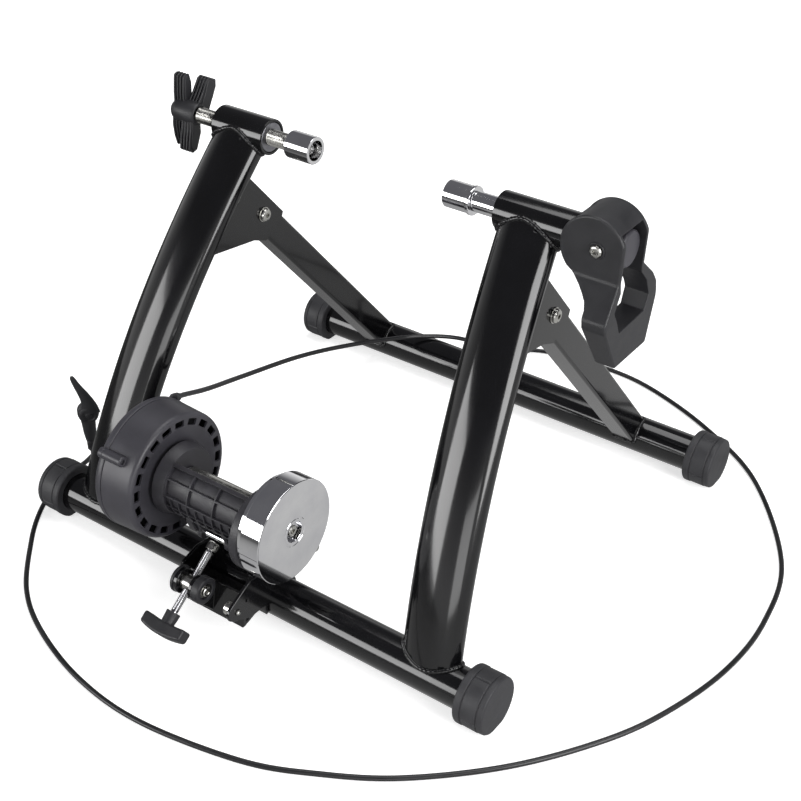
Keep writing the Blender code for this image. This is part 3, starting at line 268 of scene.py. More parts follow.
def on_axle(name, profile, **how):
    """Turned solid about the axle's line, with x stations."""
    return turned(name, profile, spot(0, *AXLE), **how)


def on_unit(name, profile, **how):
    """Turned solid about the roller's line, with x stations."""
    return turned(name, profile, spot(0, *UNIT), **how)


def socketed(screw, ends, r, place, way=X_WAY):
    """Cut a six-sided key socket into a screw's head."""
    return soften(shaped(screw, turned("key_socket", rod(ends, r), place, way, steps=6, soft=0)), 0)


def ring(ends, outer, inner):
    """Closed half section of a tube or ring."""
    low, high = ends
    return [(low, inner), (low, outer), (high, outer), (high, inner), (low, inner)]


def rod(ends, r):
    """Half section of a round rod, closed on its axis."""
    low, high = ends
    return [(low, 0), (low, r), (high, r), (high, 0)]


def prism(name, points, pull, soft=0.6, segments=2):
    """Solid with a flat outline, filled and pulled along."""
    draw([*points, points[0]])
    bpy.ops.mesh.remove_doubles(threshold=1e-6)
    bpy.ops.mesh.select_all(action="SELECT")
    bpy.ops.mesh.edge_face_add()
    bpy.ops.mesh.extrude_region_move(TRANSFORM_OT_translate={"value": pull})
    return soften(close_up(name), soft, segments)


def plate(name, outline, ends, **how):
    """Plate with a (y, z) outline between two x stations."""
    points = [spot(ends[0], y, z) for y, z in outline]
    return prism(name, points, X_WAY * (ends[1] - ends[0]) * MM, **how)


def plate_y(name, outline, ends, **how):
    """Plate with an (x, z) outline between two y stations."""
    points = [spot(x, ends[0], z) for x, z in outline]
    return prism(name, points, Vector((0, (ends[1] - ends[0]) * MM, 0)), **how)


def lofted(name, stations, count=24, soft=0):
    """Skin over a row of oval rings: (place in metres, half width vector, half depth vector) in mm."""
    rings = []
    for place, wide, deep in stations:
        ahead = wide.cross(deep).normalized()
        turn = Matrix((wide.normalized(), deep.normalized(), ahead)).transposed().to_euler()
        bpy.ops.mesh.primitive_circle_add(vertices=count, radius=MM, location=place, rotation=turn)
        bpy.context.object.scale = (wide.length, deep.length, 1)
        rings.append(bpy.context.object)
    joined(*rings)
    bpy.ops.object.transform_apply()
    edit_all()
    bpy.ops.mesh.bridge_edge_loops()
    bpy.ops.mesh.select_all(action="SELECT")
    bpy.ops.mesh.fill_holes(sides=0)
    return soften(close_up(name), soft)


def arc(cy, cz, r, start, end, steps):
    """Points on a circular arc, with angles in degrees."""
    turns = [math.radians(start + (end - start) * i / steps) for i in range(steps + 1)]
    return [(cy + r * math.cos(a), cz + r * math.sin(a)) for a in turns]


def band(cy, cz, first, last, start, end, steps):
    """Outline of a curved wall: out along one radius and back along the other."""
    return arc(cy, cz, first, start, end, steps) + arc(cy, cz, last, end, start, steps)


def rounded_box(cx, wide, tall, r, steps):
    """Box outline with round corners, whose centres lie wide and tall of (cx, 0)."""
    points = []
    for sx, sy, first in ((1, 1, 0), (-1, 1, 90), (-1, -1, 180), (1, -1, 270)):
        points += arc(cx + sx * wide, sy * tall, r, first, first + 90, steps)
    return points


def about(centre, offsets):
    """(y, z) places at these offsets from a centre."""
    return [(centre[0] + y, centre[1] + z) for y, z in offsets]


def thread(name, ends, r, pitch, depth, place, way=X_WAY):
    """Helical screw thread round a rod."""
    low, high = ends
    root = r - depth
    tooth = ((0, root), (0.5, r), (1, root), (0.5, root - 0.4))
    draw([Vector((low + s * pitch, 0, h)) * MM for s, h in tooth])
    bpy.ops.mesh.edge_face_add()
    bpy.ops.mesh.delete(type="ONLY_FACE")
    obj = close_up(name)
    turns = int((high - low) / pitch) - 1
    applied(obj, "SCREW", axis="X", screw_offset=pitch * MM, iterations=turns, steps=28, render_steps=28)
    edit_all()
    bpy.ops.mesh.fill_holes(sides=0)
    obj = close_up(name)
    stand(obj, place, way)
    return soften(obj, 0)


# Finishes


def tone(code):
    """Linear colour of an sRGB hex value."""
    parts = [int(code[i:i + 2], 16) / 255 for i in (0, 2, 4)]
    return (*[c / 12.92 if c <= 0.04045 else ((c + 0.055) / 1.055) ** 2.4 for c in parts], 1.0)


def add(tree, kind, inputs=None, **settings):
    """Add one node with its settings, and set or link its inputs."""
    made = tree.nodes.new(kind)
    for name, value in settings.items():
        setattr(made, name, value)
    for name, value in (inputs or {}).items():
        if isinstance(value, bpy.types.NodeSocket):
            tree.links.new(value, made.inputs[name])
        else:
            made.inputs[name].default_value = value
    return made


def new_finish(name):
    """Empty material: its tree and its shader."""
    material = bpy.data.materials.new(name)
    material.use_nodes = True
    tree = material.node_tree
    return material, tree, tree.nodes["Principled BSDF"]


def mottled(name, dark, light, patch_mm, rough, grain_mm, grain_depth_mm, metallic=0.0, **constants):
    """Finish with faint cloudy patches in colour and gloss, and a fine grain in relief."""
    material, tree, shader = new_finish(name)
    place = add(tree, "ShaderNodeTexCoord").outputs["Object"]
    cloud = add(tree, "ShaderNodeTexNoise", {"Vector": place, "Scale": 1000 / patch_mm, "Detail": 4.0})
    ramp = add(tree, "ShaderNodeValToRGB", {"Fac": cloud.outputs["Fac"]})
    ramp.color_ramp.elements[0].position = 0.35
    ramp.color_ramp.elements[1].position = 0.68
    ramp.color_ramp.elements[0].color = tone(dark)
    ramp.color_ramp.elements[1].color = tone(light)
    tree.links.new(ramp.outputs["Color"], shader.inputs["Base Color"])
    sheen = add(tree, "ShaderNodeMapRange", {
        "Value": cloud.outputs["Fac"], "From Min": 0.3, "From Max": 0.7, "To Min": rough[0], "To Max": rough[1]
    })
    tree.links.new(sheen.outputs["Result"], shader.inputs["Roughness"])
    grain = add(tree, "ShaderNodeTexNoise", {"Vector": place, "Scale": 1000 / grain_mm, "Detail": 3.0})
    relief = add(tree, "ShaderNodeBump", {
        "Height": grain.outputs["Fac"], "Strength": 1.0, "Distance": grain_depth_mm * MM
    })
    tree.links.new(relief.outputs["Normal"], shader.inputs["Normal"])
    shader.inputs["Metallic"].default_value = metallic
    for key, value in constants.items():
        shader.inputs[key.replace("_", " ")].default_value = value
    return material


def make_finishes():
    """Every finish of the trainer, named for what the real one is."""
    return {
        # Stoved gloss enamel on steel tube: near black, with a faint orange peel in its reflections.
        "enamel": mottled("stoved_black_enamel", "070708", "0C0C0E", 60, (0.1, 0.16), 3.0, 0.006,
                          Coat_Weight=0.25, Coat_Roughness=0.05),
        # Weld bead under the enamel: the same black, over small frozen ripples.
        "weld": mottled("enamelled_weld_bead", "0A0A0B", "111113", 8, (0.08, 0.2), 1.6, 0.12),
        # Bright chromium plate, polished: mirrors the room with only a breath of haze.
        "chrome": mottled("polished_chromium_plate", "E6E6E9", "F2F2F3", 25, (0.035, 0.07), 6.0, 0.002, 1.0),
        # Bright zinc plate on steel: a softer mirror with a slight warm grey.
        "zinc": mottled("bright_zinc_plate", "B9B8B3", "D2D1CC", 5, (0.16, 0.28), 1.0, 0.004, 1.0),
        # Turned mild steel: matt grey metal with fine tool marks.
        "steel": mottled("turned_mild_steel", "85858A", "9C9CA0", 6, (0.28, 0.42), 0.8, 0.006, 1.0),
        # Moulded ABS with a spark-eroded satin grain: dark cool grey.
        "abs": mottled("spark_grained_grey_abs", "333237", "3A393F", 30, (0.38, 0.45), 0.7, 0.012),
        # Glass-filled nylon: nearly black, with a slightly dry sheen.
        "nylon": mottled("glass_filled_black_nylon", "1D1D20", "242427", 18, (0.42, 0.54), 0.8, 0.014),
        # Nylon moulding of the cage: dark grey, between the drum's and the knobs'.
        "cage": mottled("moulded_dark_grey_nylon", "262529", "2E2D32", 14, (0.4, 0.52), 0.9, 0.012),
        # Black oxide on the disc inside the drum: dark, dull metal.
        "oxide": mottled("black_oxide_steel", "18181A", "222224", 10, (0.45, 0.6), 0.8, 0.006, 0.6),
        # Soft PVC of the end caps: dusty dark grey with a dull rubbery sheen.
        "pvc": mottled("moulded_soft_pvc", "28282B", "303033", 12, (0.5, 0.62), 0.6, 0.01),
        # Extruded PVC sheath of the gear cable: black and slightly shiny.
        "sheath": mottled("extruded_cable_sheath", "161618", "1E1E20", 40, (0.28, 0.38), 1.5, 0.004),
        # Sintered ferrite magnets: dull charcoal.
        "ferrite": mottled("sintered_ferrite", "2B2A2A", "363535", 3, (0.5, 0.65), 0.5, 0.02),
    }


FINISH = make_finishes()


def fit(obj, body, finish, slot, *nodes):
    """Give a piece its finish and let it ride on its body in place of its plain solids."""
    obj.data.materials.clear()
    obj.data.materials.append(FINISH[finish])
    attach(obj, body)
    if nodes:
        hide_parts(*nodes)
    return obj


def keep(finish, *nodes):
    """Give hidden plain solids their finish."""
    for node in nodes:
        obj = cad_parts[node]
        obj.data.materials.clear()
        obj.data.materials.append(FINISH[finish])


# The steel frame


def leg_centre(side, t):
    """Centre of a main leg, from the front tube (t = 0) to the axle sleeve (t = 1)."""
    spread = LEG_FOOT_X - LEG_LEAN * t + LEG_SPLAY * t * (1 - t)
    return Vector((side * spread, AXLE[0] * t - LEG_BOW * t * (1 - t), TUBE_Z + (AXLE[1] - TUBE_Z) * t))


def leg_axes(side, t):
    """Directions of a main leg's width and depth."""
    ahead = (leg_centre(side, t + 0.01) - leg_centre(side, t - 0.01)).normalized()
    deep = ahead.cross(X_WAY).normalized()
    return deep.cross(ahead), deep


def leg_shape(name, side, grow, first=0.0, last=1.0, steps=60, count=48):
    """Curved oval tube of a main leg."""
    stations = []
    for i in range(steps + 1):
        t = first + (last - first) * i / steps
        wide, deep = leg_axes(side, t)
        stations.append((spot(*leg_centre(side, t)), wide * (LEG_WIDE + grow), deep * (LEG_DEEP + grow)))
    return lofted(name, stations, count)


def bead(name, corners, radius, lumps):
    """Weld bead: a closed round seam that swells and narrows with each drop of metal."""
    radii = [1 + 0.16 * math.sin(lumps * i) + 0.1 * math.sin(2.3 * lumps * i + 1) for i in range(len(corners))]
    return strand(name, corners, radius, radii, closed=True)


def leg_seam(side, y, z, r, low, high, count=150):
    """Where a main leg's skin meets a cross tube: low lies inside the tube, high outside."""
    seam = []
    for i in range(count):
        angle = math.tau * i / count
        near, far = low, high
        for _ in range(24):
            t = (near + far) / 2
            wide, deep = leg_axes(side, t)
            point = leg_centre(side, t) + wide * LEG_WIDE * math.cos(angle) + deep * LEG_DEEP * math.sin(angle)
            if math.hypot(point.y - y, point.z - z) < r + 0.4:
                near = t
            else:
                far = t
        seam.append(spot(*point))
    return seam


def make_base():
    """Cross tubes and their end caps."""
    for name, y, body in (("front", 0, "frame"), ("rear", REAR_Y, "rear_frame")):
        ends = (-TUBE_HALF, TUBE_HALF)
        tube = turned(f"{name}_cross_tube", ring(ends, TUBE_R, TUBE_R - 1.6), spot(0, y, TUBE_Z))
        fit(tube, body, "enamel", "black_steel", f"{name}_base_tube")
        for side_name, side in (("left", -1), ("right", 1)):
            cap = make_end_cap(f"{name}_{side_name}_end_cap", side, y)
            fit(cap, body, "pvc", "foot_rubber", f"{name}_{side_name}_foot")


def make_end_cap(name, side, y):
    """Moulded cap pushed over a tube's end: a lip, four mould lines and a flat underside."""
    bore = TUBE_R + 0.3
    skin = (
        (0, -1.2), (1.0, -0.2), (2.0, 0), (6.4, 0), (7.0, -0.3), (7.3, -1.3), (8.1, -1.3), (8.5, -0.5),
        (22.6, -0.3), (23.1, -0.6), (23.4, -1.5), (24.3, -1.5), (24.6, -0.7), (28.2, -0.9), (29.4, -1.7),
        (FOOT_LENGTH, -3.2),
    )
    profile = [(0, bore), *about((0, FOOT_R), skin), (FOOT_LENGTH, 0), (27, 0), (27, bore), (0, bore)]
    inner = BASE_HALF - FOOT_LENGTH
    stations = [(side * (inner + s), r) for s, r in profile]
    cap = turned(name, stations, spot(0, y, TUBE_Z), steps=120, soft=0)
    ends = sorted((side * (inner + 7.8), side * (inner + 23.8)))
    for i in range(4):
        angle = math.radians(90 * i + 8)
        cy, cz = y + (FOOT_R + 0.1) * math.cos(angle), TUBE_Z + (FOOT_R + 0.1) * math.sin(angle)
        shaped(cap, plate("mould_line", arc(cy, cz, 1.4, 0, 330, 11), ends, soft=0))
    only(cap)
    edit_all()
    bpy.ops.mesh.bisect(plane_co=(0, 0, 0.00005), plane_no=(0, 0, -1), use_fill=True, clear_outer=True)
    return soften(close_up(name), 0.25)


def make_main_legs():
    """Main legs with the short axle sleeves and the weld beads that hold them."""
    left_bead_end = -0.1892
    for name, side, ends in (("left", -1, (-190.9, -128.8)), ("right", 1, (130.7, 211.5))):
        leg = leg_shape(f"{name}_leg_tube", side, 0)
        shaped(leg, turned("saddle", rod(THROUGH, TUBE_R + 0.3), spot(0, 0, TUBE_Z), soft=0))
        shaped(leg, on_axle("saddle", rod(THROUGH, SLEEVE_R + 0.3), soft=0))
        soften(leg, 0, angle=40)
        fit(leg, "frame", "enamel", "black_steel", f"{name}_main_leg")
        sleeve = on_axle(f"{name}_sleeve_tube", ring(ends, SLEEVE_R, SLEEVE_R - 2.5), soft=0.6)
        fit(sleeve, "frame", "enamel", "black_steel", f"{name}_axle_sleeve")
        low = bead(f"{name}_foot_weld", leg_seam(side, 0, TUBE_Z, TUBE_R, 0.0, 0.16), 2.3, 1.9)
        fit(low, "frame", "weld", "black_steel")
        seam = leg_seam(side, *AXLE, SLEEVE_R, 1.0, 0.86)
        for point in seam:
            point.x = max(point.x, left_bead_end)
        high = bead(f"{name}_sleeve_weld", seam, 2.2, 2.1)
        fit(high, "frame", "weld", "black_steel")


def rear_leg_axes():
    """Directions up along a rear leg, and square to it towards the back."""
    up = Vector((0, PIVOT[0] - REAR_Y, PIVOT[1] - TUBE_Z)).normalized()
    return up, Vector((0, up.z, -up.y))


def web_line(side):
    """A point on the back of the hinge bracket's web, the way along it and the way back from it."""
    t = (PIVOT[1] - TUBE_Z) / (AXLE[1] - TUBE_Z)
    centre = leg_centre(side, t)
    ahead = leg_centre(side, t + 0.01) - leg_centre(side, t - 0.01)
    way = Vector((0, ahead.y, ahead.z)).normalized()
    back = Vector((0, way.z, -way.y))
    return Vector((0, centre.y, centre.z)) + back * (LEG_DEEP + 3.3), way, back


def flat(points):
    """(y, z) pairs of places."""
    return [(p.y, p.z) for p in points]


def fold_drill(middle):
    """Drill for a fold bolt's hole."""
    return turned("drill", rod((middle - 60, middle + 60), FOLD_HOLE_R), spot(0, *PIVOT), steps=48, soft=0)


def make_rear_legs():
    """Box section legs, the channel brackets that they fold in, and the fold bolts."""
    up, back = rear_leg_axes()
    pivot = Vector((0, *PIVOT))
    low = Vector((0, REAR_Y, TUBE_Z))
    half = REAR_LEG_DEEP / 2
    corner = 3.2
    section = rounded_box(0, REAR_LEG_WIDE / 2 - corner, half - corner, corner, 6)
    for name, side in (("left", -1), ("right", 1)):
        start, way, rearward = web_line(side)
        reach = ((pivot - back * half - start).dot(rearward) - 0.3) / -up.dot(rearward)
        middle = side * REAR_LEG_X
        points = [spot(middle + a, *(low + back * b).yz) for a, b in section]
        leg = prism(f"{name}_folding_leg", points, (pivot + up * reach - low) * MM, soft=0)
        shaped(leg, turned("saddle", rod(THROUGH, TUBE_R + 0.3), spot(0, REAR_Y, TUBE_Z), soft=0))
        shaped(leg, fold_drill(middle))
        soften(leg, 0.5)
        fit(leg, "rear_frame", "enamel", "black_steel", f"{name}_rear_leg")
        seam = []
        for (a, b), (c, d) in zip(section, section[1:] + section[:1]):
            for step in range(6):
                u, v = a + (c - a) * step / 6, b + (d - b) * step / 6
                along = math.sqrt(max(TUBE_R ** 2 - v ** 2, 0)) + 0.4
                seam.append(spot(middle + u, *(low + back * v + up * along).yz))
        fit(bead(f"{name}_folding_leg_weld", seam, 1.9, 2.2), "rear_frame", "weld", "black_steel")
        make_hinge(name, side, start, way, rearward)


def make_hinge(name, side, start, way, rearward):
    """Channel bracket welded to a main leg, with its bolt and nut."""
    up, back = rear_leg_axes()
    pivot = Vector((0, *PIVOT))
    half = REAR_LEG_DEEP / 2
    in_leg = leg_centre(side, (PIVOT[1] + 60 - TUBE_Z) / (AXLE[1] - TUBE_Z))
    low_leg = leg_centre(side, (PIVOT[1] - 12 - TUBE_Z) / (AXLE[1] - TUBE_Z))
    outline = [
        in_leg, pivot + up * 52 + back * (half + 2.5), pivot - up * 26 + back * (half + 2.5),
        pivot - up * 29.5 + back * (half - 4), pivot - up * 24.5 - back * (half + 4),
        pivot - up * 7 - back * (half + 12.5), low_leg,
    ]
    inside = REAR_LEG_WIDE / 2 + 0.3
    outside = inside + 3
    middle = side * REAR_LEG_X
    bracket = plate(f"{name}_hinge_channel", flat(outline), (middle - outside, middle + outside), soft=0)
    along, deep = way * 160, rearward * 160
    hollow = [start - along, start + along, start + along + deep, start - along + deep]
    shaped(bracket, plate("hollow", flat(hollow), (middle - inside, middle + inside), soft=0))
    shaped(bracket, leg_shape("leg_room", side, 0.3, 0.375, 1.125, 12))
    shaped(bracket, fold_drill(middle))
    soften(bracket, 0.5)
    fit(bracket, "frame", "enamel", "black_steel", f"{name}_pivot_bracket")
    face = middle + outside + 0.3
    bolt = turned(f"{name}_fold_bolt", [
        (face - 37.8, 0), (face - 37.8, 4), (face, 4), (face, 7.6), (face + 0.9, 7.6), (face + 0.9, 6.8),
        (face + 3.2, 6.6), (face + 4.5, 5.6), (face + 5, 4.2), (face + 5, 0),
    ], spot(0, *PIVOT), steps=48, soft=0.15)
    socketed(bolt, (face + 2, face + 8), 2.6, spot(0, *PIVOT))
    fit(bolt, "frame", "zinc", "zinc_steel", f"{name}_pivot_bolt")
    tail = middle - outside - 0.3
    nut = turned(f"{name}_fold_nut", ring((tail - 6.5, tail), 7.2, FOLD_HOLE_R), spot(0, *PIVOT), steps=6, soft=0.5)
    fit(nut, "frame", "zinc", "zinc_steel", f"{name}_pivot_nut")


# The screw clamp on the left


def make_screw_clamp():
    """Threaded rod with its chromed cup, and the finned hand knob."""
    back, mouth = -104.0, -75.5
    cup = on_axle("screw_clamp_cup", [
        (back, 5.3), (back, 13.25), (mouth, 13.25), (mouth, 9.6), (back + 6, 9.6), (back + 6, 5.3), (back, 5.3)
    ], soft=0.8)
    fit(cup, "clamp_cup", "chrome", "chrome", "left_axle_cup")
    core = on_axle("clamp_rod", [
        (-246, 0), (-246, 7.1), (back - 0.3, 7.1), (back - 0.3, 5), (back + 6.3, 5), (back + 6.3, 7.4),
        (back + 8.4, 7.4), (back + 9.2, 5.5), (back + 9.2, 0),
    ], soft=0.3)
    ridge = thread("clamp_thread", (-221, back - 0.4), 8.0, 2.0, 1.0, spot(0, *AXLE))
    fit(joined(core, ridge), "clamp_screw", "zinc", "zinc_steel", "clamp_screw")
    fit(make_knob(), "clamp_screw", "nylon", "dark_plastic", "clamp_knob")


def make_knob():
    """Hand knob: a round hub with two pairs of crossed fins, each ribbed for the fingers."""
    low, middle, high = KNOB_END, KNOB_END + 15, KNOB_END + 30
    rib_pitch, rib_width = 3.83, 2.3
    web_wide, web_tall, web_inset = 0.66, 0.95, 0.6
    hub = on_axle("knob_hub", [
        (low - 2.4, 0), (low - 2.2, 4.4), (low - 1.0, 8), (low + 1.4, 10.2), (low + 5, 11.5), (low + 12, 11.9),
        (low + 21, 11.9), (low + 28, 11.2), (low + 30.4, 9.8), (low + 30.4, 8.3), (low + 6, 8.3), (low + 6, 0),
    ], soft=0.8, segments=3)
    fins = (
        (low, middle, (
            (-3.8, 4), (-3.2, 18), (-1.6, 31), (-0.8, 35.4), (3, 37), (7.4, 36.2), (9.6, 27), (9, 16), (7, 4),
        )),
        (low, middle, (
            (5, -4), (4, -20), (1.8, -35), (-1.2, -37.8), (-4.6, -36.8), (-7.4, -26), (-8.4, -14), (-7, -4),
        )),
        (middle - 0.5, high, (
            (-3, 5), (7.6, 17.5), (16.5, 30), (20.5, 31.6), (29, 27), (28.6, 20), (22.5, 9), (12, -4),
        )),
        (middle - 0.5, high, (
            (3, -5), (2.6, -20), (-4.6, -35.6), (-11, -37.4), (-16, -33.6), (-14, -22), (-11.6, -14), (-9, 2),
        )),
    )
    parts = []
    for start, end, outline in fins:
        cy = sum(y for y, z in outline) / len(outline)
        slim = [(cy + (y - cy) * web_wide, z * web_tall) for y, z in outline]
        ends = (start + web_inset, end - web_inset)
        parts.append(plate("fin_web", about(AXLE, slim), ends, soft=1.0, segments=3))
        for i in range(4):
            x = start + i * rib_pitch
            parts.append(plate("fin_rib", about(AXLE, outline), (x, x + rib_width), soft=0.95, segments=3))
    return joined(hub, *parts)


# The lever clamp on the right


def make_lever_clamp():
    """Sliding pin with its chromed cup, the block on its end and the hand lever."""
    mouth, back = 75.4, 103.4
    at = spot(LEVER_X, AXLE[0], LEVER_Z)
    cup = on_axle("lever_clamp_cup", [
        (mouth, 9.6), (mouth, 12.5), (back - 3.6, 12.5), (back - 3.6, 13.4), (back, 13.4), (back, 6.3),
        (back - 6, 6.3), (back - 6, 9.6), (mouth, 9.6),
    ], soft=0.6)
    fit(cup, "axle_pin", "chrome", "chrome", "right_axle_cup")
    pin = on_axle("clamp_pin", [
        (back - 5.6, 0), (back - 5.6, 6), (back + 0.3, 6), (back + 0.3, 9.4), (196.5, 9.4), (196.5, 13.5),
        (200.5, 13.5), (200.5, 6), (244, 6), (244, 0),
    ], soft=0.4)
    fit(pin, "axle_pin", "chrome", "zinc_steel", "axle_pin")
    block = on_axle("clamp_block", [
        (256, 0), (256, 14.2), (255.4, 15.6), (254.0, 16.6), (252.6, 16.9), (222.8, 16.9), (222, 16.1),
        (222, 6.3), (244.3, 6.3), (244.3, 0),
    ], soft=0.25)
    for direction in (-1, 1):
        shaped(block, turned("screw_hole", rod((8.5, 60), 3.3), at, (0, direction, 0), steps=32, soft=0))
    soften(block, 0)
    fit(block, "axle_pin", "abs", "grey_plastic", "lever_block")
    profile = [(9, 0), (9, 3), (22.5, 3), (22.5, 5.6), (24.4, 5.6), (25.5, 4.8), (25.9, 3.6), (25.9, 0)]
    for name, way in (("front", (0, -1, 0)), ("back", (0, 1, 0))):
        screw = turned(f"lever_pivot_screw_{name}", profile, at, way, steps=48, soft=0.2)
        socketed(screw, (24, 29), 2.2, at, way)
        fit(screw, "axle_pin", "zinc", "zinc_steel", f"lever_screw_{name}")
    fit(make_lever(), "cam_lever", "nylon", "dark_plastic", "cam_lever")


def make_lever():
    """Hand lever: cheeks and a round hood over the block, and a wide six-sided loop to pull."""
    z = LEVER_Z
    mid = AXLE[0]
    head = (LEVER_X - 4.5, z - 1.5)
    side_view = arc(*head, 31, 20, 222, 48) + about((0, z), (
        (224, -33), (230, -38), (234.5, -42.5), (237.3, -48), (238, -53), (238.5, -61), (242.5, -109),
        (262, -109), (262, -58), (259, -26),
    ))
    end_view = about((mid, z), (
        (-22.2, 40), (-22.2, -26), (-45, -53), (-45, -61), (-21, -106), (34, -106), (46, -64), (46, -49),
        (40, -39), (22.2, -22), (22.2, 40),
    ))
    lever = plate("clamp_lever", end_view, (190, 290), soft=0)
    shaped(lever, plate_y("side_view", side_view, (mid - 60, mid + 60), soft=0), "INTERSECT")
    soften(lever, 2.2, 4, 22)
    slot = 17.9
    opening = about((mid, z), (
        (-slot, 17.6), (-slot, -34), (-29, -48), (-19, -71), (24, -69), (31, -56), (27, -41), (slot, -30),
        (slot, 17.6),
    ))
    shaped(lever, plate("opening", opening, (180, 300), soft=0))
    cavity = arc(LEVER_X, z, 25, -60, 122, 40) + [(LEVER_X - 60, z + 46), (LEVER_X - 60, z - 20)]
    shaped(lever, plate_y("cavity", cavity, (mid - slot, mid + slot), soft=0))
    at = spot(LEVER_X, mid, z)
    shaped(lever, turned("screw_way", rod((-60, 60), 3.3), at, (0, 1, 0), steps=32, soft=0))
    soften(lever, 0.7, 2, 38)
    boss = [(20.6, 7.6), (22.9, 7.6), (23.3, 7.2), (23.3, 6.2), (20.6, 6.2), (20.6, 7.6)]
    return joined(lever, turned("cheek_boss", boss, at, (0, -1, 0), steps=48, soft=0.2))


# The resistance unit


def make_housing():
    """Grey plastic drum: a vented cover and a cap that meet in a fine seam."""
    seam, high = -103.4, -68.2
    cover = on_unit("brake_cover", [
        (seam, 63.4), (high - 4.5, 62.1), (high - 2.2, 61.6), (high - 0.7, 60.2), (high, 58.2), (high, 49.6),
        (high - 0.9, 47.4), (high - 3.4, 38), (high - 5.4, 30), (high - 6.2, 24), (high - 6.2, 9),
        (high - 8.6, 9), (high - 8.6, 32), (high - 2.4, 47.4), (high - 2.4, 57), (high - 5, 59.6),
        (seam, 61.0), (seam, 63.4),
    ], steps=160, soft=0.3)
    shaped(cover, vent_tools(high))
    shaped(cover, rim_lugs(seam - 1, high - 13.7), "UNION")
    soften(cover, 0.25, 2)
    fit(cover, "yoke", "abs", "grey_plastic", "housing_cover")
    low, seam = -112.3, -104.0
    cap = on_unit("brake_cap", [
        (low, 0), (low, 56), (low + 0.3, 60.4), (low + 1.1, 62.4), (low + 2.6, 63.4), (low + 5, 63.8),
        (seam - 0.7, 63.8), (seam, 63.1), (seam, 60.4), (low + 4, 59.4), (low + 2.4, 50), (low + 2.4, 0),
    ], steps=160, soft=0.3)
    shaped(cap, rim_lugs(low + 3, seam), "UNION")
    soften(cap, 0.25, 2)
    fit(cap, "yoke", "abs", "grey_plastic", "housing_cap")
    boot = turned("cable_boot", [
        (-12, 0), (-12, 4.4), (-9, 4.4), (-8.4, 3.7), (-5.6, 3.7), (-5, 4.3), (-3, 4.1), (-2.4, 3.4),
        (-0.4, 3.4), (0, 3.0), (0, 0),
    ], spot(*CABLE_EXIT), CABLE_WAY, steps=40, soft=0.2)
    fit(boot, "yoke", "nylon", "dark_plastic")


def rim_lugs(low, high):
    """Round screw lugs on the rim of the drum."""
    out, r = 65, 5.0
    profile = [(low, 0), (low, r), (high - 1, r), (high, r - 1), (high, 2.4), (high - 3, 2.2), (high - 3, 0)]
    lugs = []
    for angle in (142, -28):
        a = math.radians(angle)
        place = spot(0, UNIT[0] + out * math.cos(a), UNIT[1] + out * math.sin(a))
        lugs.append(turned("lug", profile, place, steps=36, soft=0))
    return joined(*lugs)


def vent_tools(high):
    """Cutters for a ring of rounded slots."""
    count = 20
    corners = rounded_box(53.2, 2.3, 4.6, 1.0, 3)
    slots = []
    for i in range(count):
        a = math.tau * (i + 0.5) / count
        c, s = math.cos(a), math.sin(a)
        outline = [(UNIT[0] + y * c - z * s, UNIT[1] + y * s + z * c) for y, z in corners]
        slots.append(plate("slot", outline, (high - 10, high + 10), soft=0))
    return joined(*slots)


